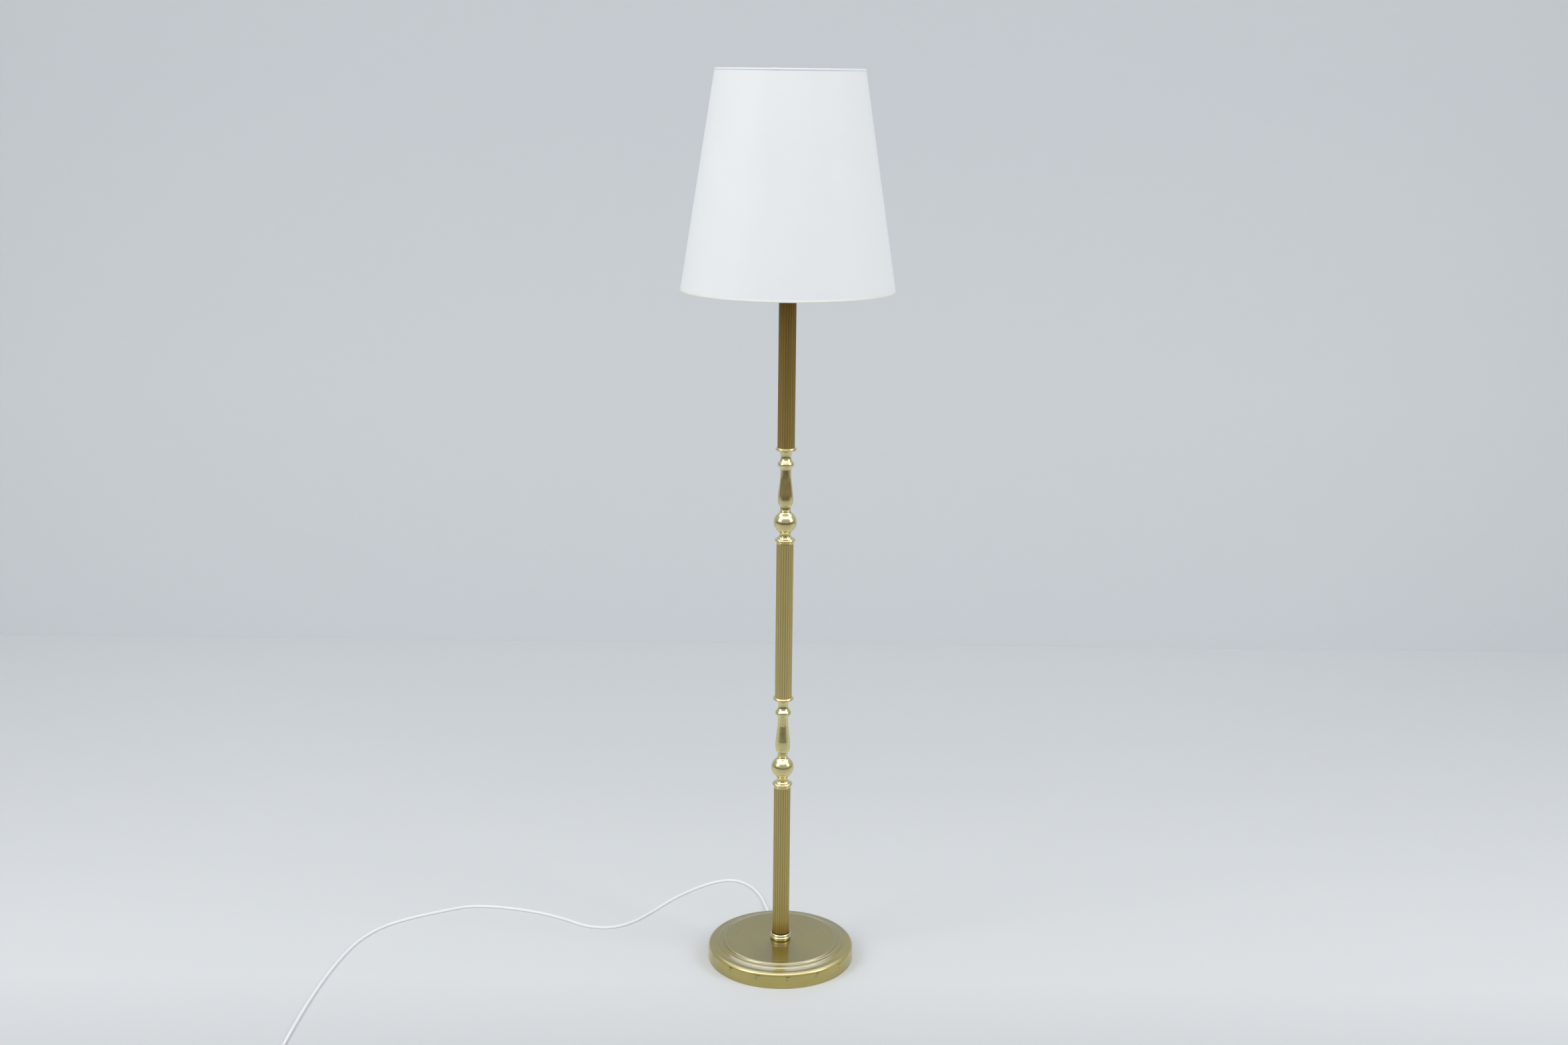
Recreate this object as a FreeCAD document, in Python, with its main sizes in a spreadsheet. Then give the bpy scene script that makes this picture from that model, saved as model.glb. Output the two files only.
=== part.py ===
import FreeCAD, Part
import math
import os
import re
import Sketcher
from FreeCAD import Placement, Rotation, Vector

# Floor lamp: a spun brass foot, a stem of three fluted tubes and two turned balusters on one
# hollow tie rod, a lampholder with a cone shade, and a white mains cord.
# The origin is the middle of the foot on the floor, +Z is up and the cord leaves towards +Y.

# Every length is in millimetres, every angle in degrees.
SIZES = {
    # Foot
    "base_radius": 127.2,
    "rim_gap": 0.4,
    "cover_wall": 1.0,
    "wall_height": 21.0,
    "shoulder_radius": 6.5,
    "slope_inset_width": 16.7,
    "slope_height": 29.2,
    "ring_band_width": 20.5,
    "plateau_height": 34.0,
    "pad_thickness": 3.0,
    "pad_edge_gap": 4.0,
    "weight_gap": 1.5,
    "plate_thickness": 10.0,
    "boss_radius": 30.0,
    "boss_flare_width": 6.0,
    "recess_radius": 22.0,
    "recess_depth": 23.0,
    "channel_width": 9.0,
    "notch_width": 16.0,
    "notch_depth": 8.0,
    # Tie rod, its nut and its washer
    "rod_radius": 5.0,
    "rod_bore_radius": 4.0,
    "rod_clearance": 0.15,
    "washer_radius": 12.0,
    "washer_thickness": 1.5,
    "nut_width": 17.0,
    "base_nut_height": 6.0,
    "rod_tail_length": 1.5,
    # Cord exit, strain relief and clamp
    "exit_turn": 8.5,
    "exit_height": 7.5,
    "exit_hole_radius": 4.5,
    "relief_clearance": 0.1,
    "relief_flange_radius": 6.3,
    "relief_flange_thickness": 2.0,
    "relief_root_radius": 5.0,
    "relief_tip_radius": 3.6,
    "relief_length": 27.0,
    "relief_inner_length": 7.0,
    "relief_ring_width": 2.5,
    "relief_ring_gap": 0.2,
    "clamp_distance": 70.0,
    "clamp_length": 30.0,
    "clamp_width": 11.0,
    "clamp_thickness": 2.0,
    "clamp_side_gap": 0.4,
    "clamp_screw_distance": 11.0,
    "screw_radius": 1.5,
    "screw_length": 8.0,
    "screw_head_radius": 2.8,
    "screw_head_height": 2.0,
    "screw_clearance": 0.05,
    # Tubes
    "tube_length": 271.2,
    "tube_radius": 14.5,
    "tube_wall": 1.6,
    "flute_count": 22,
    "flute_radius": 2.2,
    "flute_depth": 0.45,
    "spigot_length": 8.0,
    "spigot_clearance": 0.15,
    # Turned pieces
    "collar_radius": 18.2,
    "collar_height": 12.5,
    "cap_radius": 17.6,
    "cap_height": 13.6,
    "ball_radius": 19.7,
    "ball_height": 43.2,
    "neck_radius": 9.25,
    "neck_height": 6.8,
    "vase_radius": 13.9,
    "vase_height": 82.0,
    "cup_radius": 17.8,
    "cup_height": 19.0,
    "stem_cap_radius": 15.6,
    "stem_cap_height": 3.6,
    "stem_nut_height": 5.0,
    # Lampholder
    "holder_radius": 20.0,
    "holder_wall": 1.0,
    "holder_cap_height": 40.0,
    "holder_boss_radius": 8.0,
    "holder_floor_height": 7.2,
    "holder_shoulder_height": 18.0,
    "rod_end_height": 10.0,
    "sleeve_height": 30.0,
    "sleeve_lip_thickness": 1.0,
    "sleeve_mouth_radius": 15.2,
    "thread_turns": 8,
    "thread_depth": 0.4,
    "thread_margin_height": 2.4,
    "insert_clearance": 0.2,
    "insert_drop_height": 5.0,
    "insert_floor_thickness": 10.0,
    "insert_bore_radius": 14.4,
    "wire_hole_radius": 4.0,
    "shell_radius": 14.2,
    "shell_wall": 0.5,
    "shell_height": 22.0,
    "contact_width": 4.0,
    "contact_length": 14.0,
    "contact_thickness": 0.6,
    "contact_height": 2.0,
    "terminal_distance": 8.0,
    "terminal_length": 8.0,
    "terminal_head_radius": 2.4,
    "terminal_head_height": 2.0,
    # Rotary switch
    "switch_height": 23.0,
    "switch_box_length": 19.0,
    "switch_box_width": 14.0,
    "switch_box_height": 8.0,
    "switch_bush_radius": 4.5,
    "switch_bush_length": 6.0,
    "switch_shaft_radius": 2.5,
    "switch_shaft_clearance": 0.06,
    "switch_shaft_depth": 5.0,
    "knob_gap": 1.0,
    "knob_radius": 8.0,
    "knob_length": 14.0,
    "knob_bore_depth": 9.0,
    "knob_flutes": 12,
    "knob_flute_radius": 1.4,
    "knob_flute_depth": 0.6,
    "knob_rounding_radius": 1.2,
    # Bulb
    "bulb_radius": 30.0,
    "bulb_height": 80.0,
    "bulb_wall": 1.0,
    "bulb_cap_radius": 13.2,
    "bulb_cap_height": 22.0,
    "bulb_cap_wall": 0.5,
    "bulb_tip_radius": 4.8,
    "bulb_tip_height": 3.0,
    # Shade and what carries it
    "ring_seat_height": 16.0,
    "ring_nut_radius": 26.0,
    "ring_nut_height": 7.0,
    "ring_nut_grip_radius": 24.0,
    "ring_nut_flange_thickness": 1.6,
    "ring_nut_clearance": 0.12,
    "ring_nut_flutes": 24,
    "ring_nut_flute_radius": 0.9,
    "centre_ring_radius": 33.0,
    "centre_ring_thickness": 2.0,
    "centre_ring_clearance": 0.08,
    "ring_play_gap": 0.1,
    "arm_count": 3,
    "arm_radius": 1.5,
    "arm_top_length": 32.0,
    "arm_foot_length": 24.0,
    "arm_bend_radius": 10.0,
    "hoop_radius": 1.5,
    "hoop_gap": 0.3,
    "shade_bottom_radius": 175.0,
    "shade_top_radius": 120.0,
    "shade_height": 350.0,
    "shade_wall": 0.8,
    "shade_drop_height": 10.3,
    # Cord and plug
    "cord_radius": 2.5,
    "relief_bore_clearance": 0.1,
    "lead_bend_radius": 12.0,
    "lead_end_gap": 2.0,
    "core_radius": 0.9,
    "core_distance": 1.2,
    "core_run_length": 3.0,
    "exit_run_length": 14.0,
    "turn_gap": 0.55,
    "coil_middle_radius": 27.2,
    "coil_quarters": 12,
    "coil_tail_length": 16.0,
    "plug_nose_tip_radius": 3.4,
    "plug_nose_root_radius": 5.4,
    "plug_nose_length": 18.0,
    "plug_width": 34.0,
    "plug_length": 36.0,
    "plug_fillet_radius": 2.0,
    "pin_radius": 2.0,
    "pin_length": 19.0,
    "pin_distance": 9.3,
    # How far a cut runs past what it cuts
    "overrun": 2.0,
}

# Outlines of the turned pieces, from foot to head: shares of the piece's radius and height.
# A pair is a corner; four values are the crown of an arc and then its end.
COLLAR_SHARES = [
    (0.885, 0),
    (0.885, 0.05),
    (1, 0.29, 0.925, 0.49),
    (0.9, 0.51),
    (0.965, 0.69, 0.88, 0.86),
    (0.855, 0.76),
    (0.81, 0.76),
    (0.796, 1),
]
CAP_SHARES = [
    (0.818, 0),
    (0.818, 0.118),
    (0.864, 0.147),
    (0.892, 0.199, 0.869, 0.25),
    (1, 0.456, 0.886, 0.654),
    (0.778, 0.676),
    (0.693, 0.838, 0.563, 0.941),
    (0.545, 1),
]
BALL_SHARES = [
    (0.49, 0),
    (0.48, 0.058, 0.546, 0.153),
    (0.9015, 0.3375, 1, 0.535),
    (0.9015, 0.732, 0.546, 0.917),
    (0.487, 0.957, 0.477, 0.99),
    (0.474, 1),
]
NECK_SHARES = [
    (1, 0),
    (0.966, 0.1),
    (0.992, 0.5, 0.966, 0.9),
    (0.989, 1),
]
VASE_SHARES = [
    (0.685, 0),
    (0.7, 0.006),
    (0.828, 0.04, 0.915, 0.093),
    (0.946, 0.167, 0.921, 0.26),
    (0.79, 0.44, 0.68, 0.6),
    (0.654, 0.69, 0.652, 0.775),
    (0.692, 0.802, 0.79, 0.822),
    (1, 0.882, 0.885, 0.93),
    (0.775, 0.955, 0.685, 0.986),
    (0.666, 1),
]
CUP_SHARES = [
    (0.515, 0),
    (0.502, 0.079),
    (0.525, 0.42, 0.685, 0.68),
    (0.86, 0.71),
    (1, 0.85, 0.86, 1),
]
STEM_CAP_SHARES = [
    (0.95, 0),
    (1, 0.4, 0.9, 0.8),
    (0.62, 1),
]
# Rings on the cover between the sloping band and the plateau: shares of that band's width and rise
COVER_RING_SHARES = [
    (0.1, 0.32, 0.27, 0.36),
    (0.3, 0.3),
    (0.38, 0.36, 0.445, 0.5),
    (0.525, 0.86, 0.66, 0.98),
    (0.83, 0.93, 1, 1),
]
COVER_SLOPE_SHARES = (0.5, 0.25)
COVER_INSIDE_SHARES = [
    (1, 1),
    (0.62, 0.94),
    (0.47, 0.38),
    (0.33, 0.24),
    (0, 0),
]
# Corner of a quarter arc: the crown lies this share of the radius out along both axes
QUARTER_CROWN_SHARE = 0.7071
HOLDER_DOME_SHARES = (0.82, 0.42)
# Bulb glass up to its widest place: shares of the bulb's radius and of that place's height
BULB_SHARES = [
    (0.44, 0),
    (0.46, 0.24, 0.66, 0.54),
    (0.9, 0.77, 1, 1),
]
RING_NUT_CHAMFER_SHARE = 0.12
# An arc of the cord takes this share of the shorter of its two runs
ARC_REACH_SHARE = 0.45
# Edges of the plug's grip are wider than this share of its nose's radius
EDGE_WIDTH_SHARE = 2.2
NEAR = 0.01

# The cord's free stretch on the floor, from the strain relief to the coil: x, y and height in radii
CORD_ROUTE = [
    (-28.6, 192.0, 1.0),
    (-37.0, 233.0, 1.0),
    (-56.0, 279.0, 1.0),
    (-89.0, 309.0, 1.0),
    (-127.0, 299.0, 1.0),
    (-164.0, 267.0, 1.0),
    (-205.0, 220.0, 1.0),
    (-239.0, 163.0, 1.0),
    (-274.0, 114.0, 1.0),
    (-313.0, 92.0, 1.0),
    (-357.0, 99.0, 1.0),
    (-402.0, 132.0, 1.0),
    (-461.0, 160.0, 1.0),
    (-524.0, 176.0, 1.0),
    (-581.0, 180.0, 1.0),
    (-630.0, 155.0, 1.0),
    (-686.0, 123.0, 1.0),
    (-729.0, 85.0, 1.0),
    (-757.0, 31.0, 1.0),
    (-771.0, -31.0, 1.0),
    (-780.0, -93.0, 1.0),
    (-786.0, -156.0, 1.0),
    (-790.0, -219.0, 1.0),
    (-792.0, -282.0, 1.0),
    (-793.0, -334.0, 1.0),
    (-793.0, -383.0, 1.0),
]

doc = FreeCAD.newDocument("floor_lamp")
sheet = doc.addObject("Spreadsheet::Sheet", "sizes")
for row, (name, value) in enumerate(SIZES.items(), start=1):
    sheet.set(f"A{row}", name)
    sheet.set(f"B{row}", str(value))
    sheet.setAlias(f"B{row}", name)
doc.recompute()

NODES = []


def bound(text):
    """An expression in which every size is a cell of the sheet."""
    def cell(word):
        return f"sizes.{word.group(0)}" if word.group(0) in SIZES else word.group(0)
    return re.sub(r"[a-z_]+", cell, text)


def number(text):
    """What an expression comes to now."""
    return float(sheet.evalExpression(bound(text)))


def origin_feature(body, role):
    return next(item for item in body.Origin.OriginFeatures if item.Role == role)


def place(item, x="0", y="0", z="0", turn="0", axis=Vector(0, 0, 1)):
    """Put an object at bound coordinates, turned about one axis."""
    item.Placement = Placement(Vector(0, 0, 0), Rotation(axis, number(turn)))
    for letter, text in (("x", x), ("y", y), ("z", z)):
        if text != "0":
            item.setExpression(f".Placement.Base.{letter}", bound(text))
    if turn != "0":
        item.setExpression(".Placement.Rotation.Angle", bound(turn))


def node(item, label):
    """Name an object as one of the lamp's sub-parts."""
    item.Label = label
    NODES.append(item)
    return item


def new_body(label):
    return node(doc.addObject("PartDesign::Body", label), label)


def new_sketch(body, name, plane="XZ_Plane", height=None):
    sketch = body.newObject("Sketcher::SketchObject", name)
    sketch.AttachmentSupport = [(origin_feature(body, plane), "")]
    sketch.MapMode = "FlatFace"
    if height is not None:
        sketch.setExpression(".AttachmentOffset.Base.z", bound(height))
    return sketch


def hold(sketch, geometry, end, x, y):
    """Hold a point of a sketch at two bound distances from its origin."""
    for kind, axis, text in (("DistanceX", -2, x), ("DistanceY", -1, y)):
        if text == "0":
            sketch.addConstraint(Sketcher.Constraint("PointOnObject", geometry, end, axis))
        else:
            fixed = Sketcher.Constraint(kind, -1, 1, geometry, end, number(text))
            sketch.setExpression(f"Constraints[{sketch.addConstraint(fixed)}]", bound(text))


def draw(sketch, outline):
    """Draw a closed outline of lines and of arcs through a crown point, fully held."""
    corners = [Vector(number(row[-2]), number(row[-1]), 0) for row in outline]
    starts = []
    ends = []
    crowns = []
    domes = []
    for place_in_list, row in enumerate(outline):
        first = corners[place_in_list - 1]
        last = corners[place_in_list]
        if len(row) == 4:
            crown = Vector(number(row[0]), number(row[1]), 0)
            left_turn = (crown - first).cross(last - crown).z > 0
            curve = Part.Arc(first, crown, last) if left_turn else Part.Arc(last, crown, first)
            geometry = sketch.addGeometry(curve, False)
            if "0" in (row[2], outline[place_in_list - 1][-2]):
                # An arc that meets the axis of a turned piece has its centre there
                domes.append(geometry)
            else:
                point = sketch.addGeometry(Part.Point(crown), True)
                crowns.append((geometry, point, row[0], row[1]))
            starts.append((geometry, 1 if left_turn else 2))
            ends.append((geometry, 2 if left_turn else 1))
        else:
            geometry = sketch.addGeometry(Part.LineSegment(first, last), False)
            starts.append((geometry, 1))
            ends.append((geometry, 2))
    for place_in_list, row in enumerate(outline):
        following = (place_in_list + 1) % len(outline)
        sketch.addConstraint(Sketcher.Constraint("Coincident", *ends[place_in_list], *starts[following]))
        hold(sketch, *ends[place_in_list], row[-2], row[-1])
    for geometry, point, x, y in crowns:
        hold(sketch, point, 1, x, y)
        sketch.addConstraint(Sketcher.Constraint("PointOnObject", point, 1, geometry))
    for geometry in domes:
        sketch.addConstraint(Sketcher.Constraint("PointOnObject", geometry, 3, -2))


def circle(sketch, radius, x="0", y="0"):
    ring = Part.Circle(Vector(number(x), number(y), 0), Vector(0, 0, 1), number(radius))
    geometry = sketch.addGeometry(ring, False)
    fixed = sketch.addConstraint(Sketcher.Constraint("Radius", geometry, number(radius)))
    sketch.setExpression(f"Constraints[{fixed}]", bound(radius))
    if x == "0" and y == "0":
        sketch.addConstraint(Sketcher.Constraint("Coincident", geometry, 3, -1, 1))
    else:
        hold(sketch, geometry, 3, x, y)


def revolve(body, outline, name="outline"):
    """Turn an outline of radius and height round the body's own Z axis."""
    sketch = new_sketch(body, f"{body.Name}_{name}")
    draw(sketch, outline)
    turned = body.newObject("PartDesign::Revolution", f"{body.Name}_{name}_turned")
    turned.Profile = sketch
    turned.ReferenceAxis = (sketch, ["V_Axis"])
    turned.Angle = 360
    sketch.Visibility = False
    doc.recompute()
    return turned


def pad(body, sketch, length):
    block = body.newObject("PartDesign::Pad", f"{sketch.Name}_pad")
    block.Profile = sketch
    block.setExpression("Length", bound(length))
    doc.recompute()
    return block


def pocket(body, sketch, length, reverse=False):
    """Cut a sketch out of the body, and say so if nothing was cut."""
    before = body.Shape.Volume
    cut = body.newObject("PartDesign::Pocket", f"{sketch.Name}_cut")
    cut.Profile = sketch
    cut.Reversed = reverse
    cut.setExpression("Length", bound(length))
    doc.recompute()
    if not body.Shape.Volume < before:
        raise RuntimeError(f"{cut.Name} cuts nothing")
    return cut


def around(body, features, count):
    """Repeat features evenly round the body's Z axis."""
    pattern = body.newObject("PartDesign::PolarPattern", f"{features[0].Name}_ring")
    pattern.Originals = features
    pattern.Axis = (origin_feature(body, "Z_Axis"), [""])
    pattern.Angle = 360
    pattern.setExpression("Occurrences", bound(count))
    body.Tip = pattern
    doc.recompute()
    return pattern


def by_share(rows, radius, height, lift="0"):
    """An outline written as shares of a radius and a height, above a lift."""
    def entry(position, share):
        size = height if position % 2 else radius
        text = "0" if share == 0 else f"({size}) * {share}"
        if position % 2 and lift != "0":
            text = lift if share == 0 else f"{lift} + {text}"
        return text
    return [tuple(entry(position, share) for position, share in enumerate(row)) for row in rows]


BORE = "rod_radius + rod_clearance"
SPIGOT = "tube_radius - tube_wall - spigot_clearance"


def turned_piece(label, rows, radius, height, foot, spigot_below=False, spigot_above=False):
    """A turned brass piece bored for the tie rod, with a spigot where a tube meets it."""
    body = new_body(label)
    lift = "spigot_length" if spigot_below else "0"
    top = height if lift == "0" else f"{lift} + {height}"
    outline = [(BORE, "0")]
    if spigot_below:
        outline += [(SPIGOT, "0"), (SPIGOT, lift)]
    outline += by_share(rows, radius, height, lift)
    if spigot_above:
        outline += [(SPIGOT, top), (SPIGOT, f"{top} + spigot_length"), (BORE, f"{top} + spigot_length")]
    else:
        outline += [(BORE, top)]
    revolve(body, outline)
    place(body, z=f"{foot} - {lift}" if spigot_below else foot)
    return body


# Heights of the stack, each from the one below it
TUBE_FOOT = "plateau_height + collar_height"
BALUSTER = "cap_height + ball_height + neck_height + vase_height + cup_height"
LOWER_BALUSTER_FOOT = f"{TUBE_FOOT} + tube_length"
MIDDLE_TUBE_FOOT = f"{LOWER_BALUSTER_FOOT} + {BALUSTER}"
UPPER_BALUSTER_FOOT = f"{MIDDLE_TUBE_FOOT} + tube_length"
UPPER_TUBE_FOOT = f"{UPPER_BALUSTER_FOOT} + {BALUSTER}"
STEM_TOP = f"{UPPER_TUBE_FOOT} + tube_length"
HOLDER_FOOT = f"{STEM_TOP} + stem_cap_height + stem_nut_height"
SLEEVE_FOOT = f"{HOLDER_FOOT} + holder_cap_height"
RING_SEAT = f"{SLEEVE_FOOT} + ring_seat_height"
SLOPE_RADIUS = "base_radius - slope_inset_width"
PLATEAU_RADIUS = f"{SLOPE_RADIUS} - ring_band_width"
WEIGHT_RADIUS = "base_radius - cover_wall - weight_gap"
BOSS_HEIGHT = "plateau_height - cover_wall - pad_thickness"
WASHER_FOOT = "pad_thickness + recess_depth - washer_thickness"
ROD_FOOT = f"{WASHER_FOOT} - base_nut_height - rod_tail_length"
ROD_TOP = f"{HOLDER_FOOT} + rod_end_height"
INSERT_FOOT = f"{SLEEVE_FOOT} - insert_drop_height"
SHADE_FOOT = f"{STEM_TOP} - shade_drop_height"


def base_cover():
    """Spun cover: upright wall, rounded shoulder, sloping band, two rings, a cove and a flat plateau."""
    body = new_body("base_cover")
    quarter = f"shoulder_radius * {QUARTER_CROWN_SHARE}"
    inner_quarter = f"(shoulder_radius - cover_wall) * {QUARTER_CROWN_SHARE}"
    middle = "base_radius - shoulder_radius"
    rise = "(plateau_height - slope_height)"
    shoulder_top = "wall_height + shoulder_radius"
    outline = [
        ("base_radius", "rim_gap"),
        ("base_radius", "wall_height"),
        (f"{middle} + {quarter}", f"wall_height + {quarter}", middle, "wall_height + shoulder_radius"),
        (
            f"{SLOPE_RADIUS} + ({middle} - ({SLOPE_RADIUS})) * {COVER_SLOPE_SHARES[0]}",
            f"{shoulder_top} + (slope_height - ({shoulder_top})) * {COVER_SLOPE_SHARES[1]}",
            SLOPE_RADIUS,
            "slope_height",
        ),
    ]
    for row in COVER_RING_SHARES:
        outline.append(tuple(
            f"slope_height + {rise} * {share}" if position % 2
            else f"{SLOPE_RADIUS} - ring_band_width * {share}"
            for position, share in enumerate(row)
        ))
    outline += [
        (BORE, "plateau_height"),
        (BORE, "plateau_height - cover_wall"),
    ]
    for across, up in COVER_INSIDE_SHARES:
        outline.append((
            f"{SLOPE_RADIUS} - ring_band_width * {across}",
            f"slope_height + {rise} * {up} - cover_wall",
        ))
    outline += [
        (middle, "wall_height + shoulder_radius - cover_wall"),
        (
            f"{middle} + {inner_quarter}", f"wall_height + {inner_quarter}",
            "base_radius - cover_wall", "wall_height",
        ),
        ("base_radius - cover_wall", "rim_gap"),
    ]
    revolve(body, outline)
    hole = new_sketch(body, "cover_cord_hole")
    circle(hole, "exit_hole_radius", y="exit_height")
    pocket(body, hole, "base_radius + overrun")
    place(body, turn="exit_turn")


def base_weight():
    """Cast-iron plate with a boss under the plateau, a recess for the nut and a channel for the cord."""
    body = new_body("base_weight")
    revolve(body, [
        ("recess_radius", "0"),
        (WEIGHT_RADIUS, "0"),
        (WEIGHT_RADIUS, "plate_thickness"),
        ("boss_radius + boss_flare_width", "plate_thickness"),
        ("boss_radius", "plate_thickness + boss_flare_width"),
        ("boss_radius", BOSS_HEIGHT),
        (BORE, BOSS_HEIGHT),
        (BORE, "recess_depth"),
        ("recess_radius", "recess_depth"),
    ])
    for name, width, start in (
        ("cord_channel", "channel_width", "0"),
        ("relief_notch", "notch_width", f"{WEIGHT_RADIUS} - notch_depth"),
    ):
        sketch = new_sketch(body, name, "XY_Plane")
        rectangle(sketch, width, start, "base_radius + overrun")
        pocket(body, sketch, "plate_thickness", reverse=True)
    holes = new_sketch(body, "clamp_screw_holes", "XY_Plane")
    for side in ("", "-"):
        circle(holes, "screw_radius + screw_clearance", f"{side}clamp_screw_distance", "clamp_distance")
    pocket(body, holes, "plate_thickness", reverse=True)
    place(body, z="pad_thickness", turn="exit_turn")


def rectangle(sketch, width, start, end):
    """A rectangle centred across the Y axis, from one place on that axis to another."""
    draw(sketch, [
        (f"-({width}) / 2", start),
        (f"({width}) / 2", start),
        (f"({width}) / 2", end),
        (f"-({width}) / 2", end),
    ])


def disc(label, radius, bore, thickness, foot, turn="0"):
    """A flat round piece, bored where a bore is given."""
    body = new_body(label)
    sketch = new_sketch(body, f"{label}_round", "XY_Plane")
    circle(sketch, radius)
    if bore:
        circle(sketch, bore)
    pad(body, sketch, thickness)
    place(body, z=foot, turn=turn)
    return body


def hex_nut(label, height, foot):
    """A six-sided nut on the tie rod."""
    prism = doc.addObject("Part::Prism", f"{label}_prism")
    prism.Polygon = 6
    prism.setExpression("Circumradius", bound("nut_width / sqrt(3)"))
    prism.setExpression("Height", bound(height))
    hole = doc.addObject("Part::Cylinder", f"{label}_hole")
    hole.setExpression("Radius", bound(BORE))
    hole.setExpression("Height", bound(height))
    nut = doc.addObject("Part::Cut", label)
    nut.Base = prism
    nut.Tool = hole
    place(nut, z=foot)
    node(nut, label)


def along_exit(body, distance):
    """Lay a body's Z axis along the cord's way out of the foot, at a distance from the stem."""
    angle = math.radians(number("exit_turn"))
    body.Placement = Placement(
        Vector(0, 0, 0),
        Rotation(Vector(0, 0, 1), number("exit_turn")) * Rotation(Vector(1, 0, 0), -90),
    )
    body.setExpression(".Placement.Base.x", bound(f"-({distance}) * sin(exit_turn * 1 deg)"))
    body.setExpression(".Placement.Base.y", bound(f"({distance}) * cos(exit_turn * 1 deg)"))
    body.setExpression(".Placement.Base.z", bound("exit_height"))
    return angle


def cord_exit():
    """Strain relief through the cover's wall, the ring that locks it and the clamp on the weight."""
    relief = new_body("cord_relief")
    bore = "cord_radius + relief_bore_clearance"
    plug_end = "relief_inner_length + relief_flange_thickness"
    revolve(relief, [
        (bore, "0"),
        ("exit_hole_radius - relief_clearance", "0"),
        ("exit_hole_radius - relief_clearance", "relief_inner_length"),
        ("relief_flange_radius", "relief_inner_length"),
        ("relief_flange_radius", plug_end),
        ("relief_root_radius", plug_end),
        ("relief_tip_radius", "relief_inner_length + relief_length"),
        (bore, "relief_inner_length + relief_length"),
    ])
    along_exit(relief, "base_radius - relief_inner_length")
    ring = new_body("relief_ring")
    sketch = new_sketch(ring, "relief_ring_round", "XY_Plane")
    circle(sketch, "relief_flange_radius")
    circle(sketch, "exit_hole_radius")
    pad(ring, sketch, "relief_ring_width")
    along_exit(ring, "base_radius - cover_wall - relief_ring_gap - relief_ring_width")
    clamp = new_body("cord_clamp")
    bar = new_sketch(clamp, "clamp_bar", "XY_Plane", "plate_thickness")
    draw(bar, [
        ("-clamp_length / 2", "clamp_distance - clamp_width / 2"),
        ("clamp_length / 2", "clamp_distance - clamp_width / 2"),
        ("clamp_length / 2", "clamp_distance + clamp_width / 2"),
        ("-clamp_length / 2", "clamp_distance + clamp_width / 2"),
    ])
    pad(clamp, bar, "clamp_thickness")
    tongue = new_sketch(clamp, "clamp_tongue", "XY_Plane", "exit_height + cord_radius - pad_thickness")
    rectangle(
        tongue, "channel_width - clamp_side_gap * 2",
        "clamp_distance - clamp_width / 2", "clamp_distance + clamp_width / 2",
    )
    pad(clamp, tongue, "plate_thickness + clamp_thickness - exit_height - cord_radius + pad_thickness")
    holes = new_sketch(clamp, "clamp_holes", "XY_Plane", "plate_thickness")
    for side in ("", "-"):
        circle(holes, "screw_radius + screw_clearance", f"{side}clamp_screw_distance", "clamp_distance")
    pocket(clamp, holes, "clamp_thickness", reverse=True)
    place(clamp, z="pad_thickness", turn="exit_turn")
    seat = "pad_thickness + plate_thickness + clamp_thickness"
    screws = [
        screw(f"clamp_screw_{number_of}", f"{side}clamp_screw_distance", "clamp_distance", seat)
        for number_of, side in enumerate(("", "-"), start=1)
    ]
    group("clamp_screws", screws, turn="exit_turn")


def screw(name, x, y, seat):
    """A screw pointing down, its head on the seat."""
    head = cylinder(f"{name}_head", "screw_head_radius", "screw_head_height", x, y, seat)
    shank = cylinder(f"{name}_shank", "screw_radius", "screw_length", x, y, f"{seat} - screw_length")
    joined = doc.addObject("Part::Fuse", name)
    joined.Base = head
    joined.Tool = shank
    return joined


def cylinder(name, radius, height, x="0", y="0", z="0"):
    solid = doc.addObject("Part::Cylinder", name)
    solid.setExpression("Radius", bound(radius))
    solid.setExpression("Height", bound(height))
    place(solid, x, y, z)
    return solid


def group(label, members, turn="0"):
    """Several alike solids in one node."""
    together = doc.addObject("Part::Compound", label)
    together.Links = members
    place(together, turn=turn)
    node(together, label)


def fluted_tube(label, foot):
    """A brass tube with even flutes cut along its whole length."""
    body = new_body(label)
    ring = new_sketch(body, f"{label}_ring", "XY_Plane")
    circle(ring, "tube_radius")
    circle(ring, "tube_radius - tube_wall")
    pad(body, ring, "tube_length")
    flute = new_sketch(body, f"{label}_flute", "XY_Plane")
    circle(flute, "flute_radius", "tube_radius + flute_radius - flute_depth")
    cut = pocket(body, flute, "tube_length", reverse=True)
    around(body, [cut], "flute_count")
    place(body, z=foot)


def baluster(prefix, foot):
    """Cap over the tube below, ball, neck ring, vase with its bead, and cup under the tube above."""
    turned_piece(f"{prefix}_cap", CAP_SHARES, "cap_radius", "cap_height", foot, spigot_below=True)
    seat = f"{foot} + cap_height"
    turned_piece(f"{prefix}_ball", BALL_SHARES, "ball_radius", "ball_height", seat)
    seat = f"{seat} + ball_height"
    turned_piece(f"{prefix}_neck_ring", NECK_SHARES, "neck_radius", "neck_height", seat)
    seat = f"{seat} + neck_height"
    turned_piece(f"{prefix}_vase", VASE_SHARES, "vase_radius", "vase_height", seat)
    seat = f"{seat} + vase_height"
    turned_piece(f"{prefix}_cup", CUP_SHARES, "cup_radius", "cup_height", seat, spigot_above=True)


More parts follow.
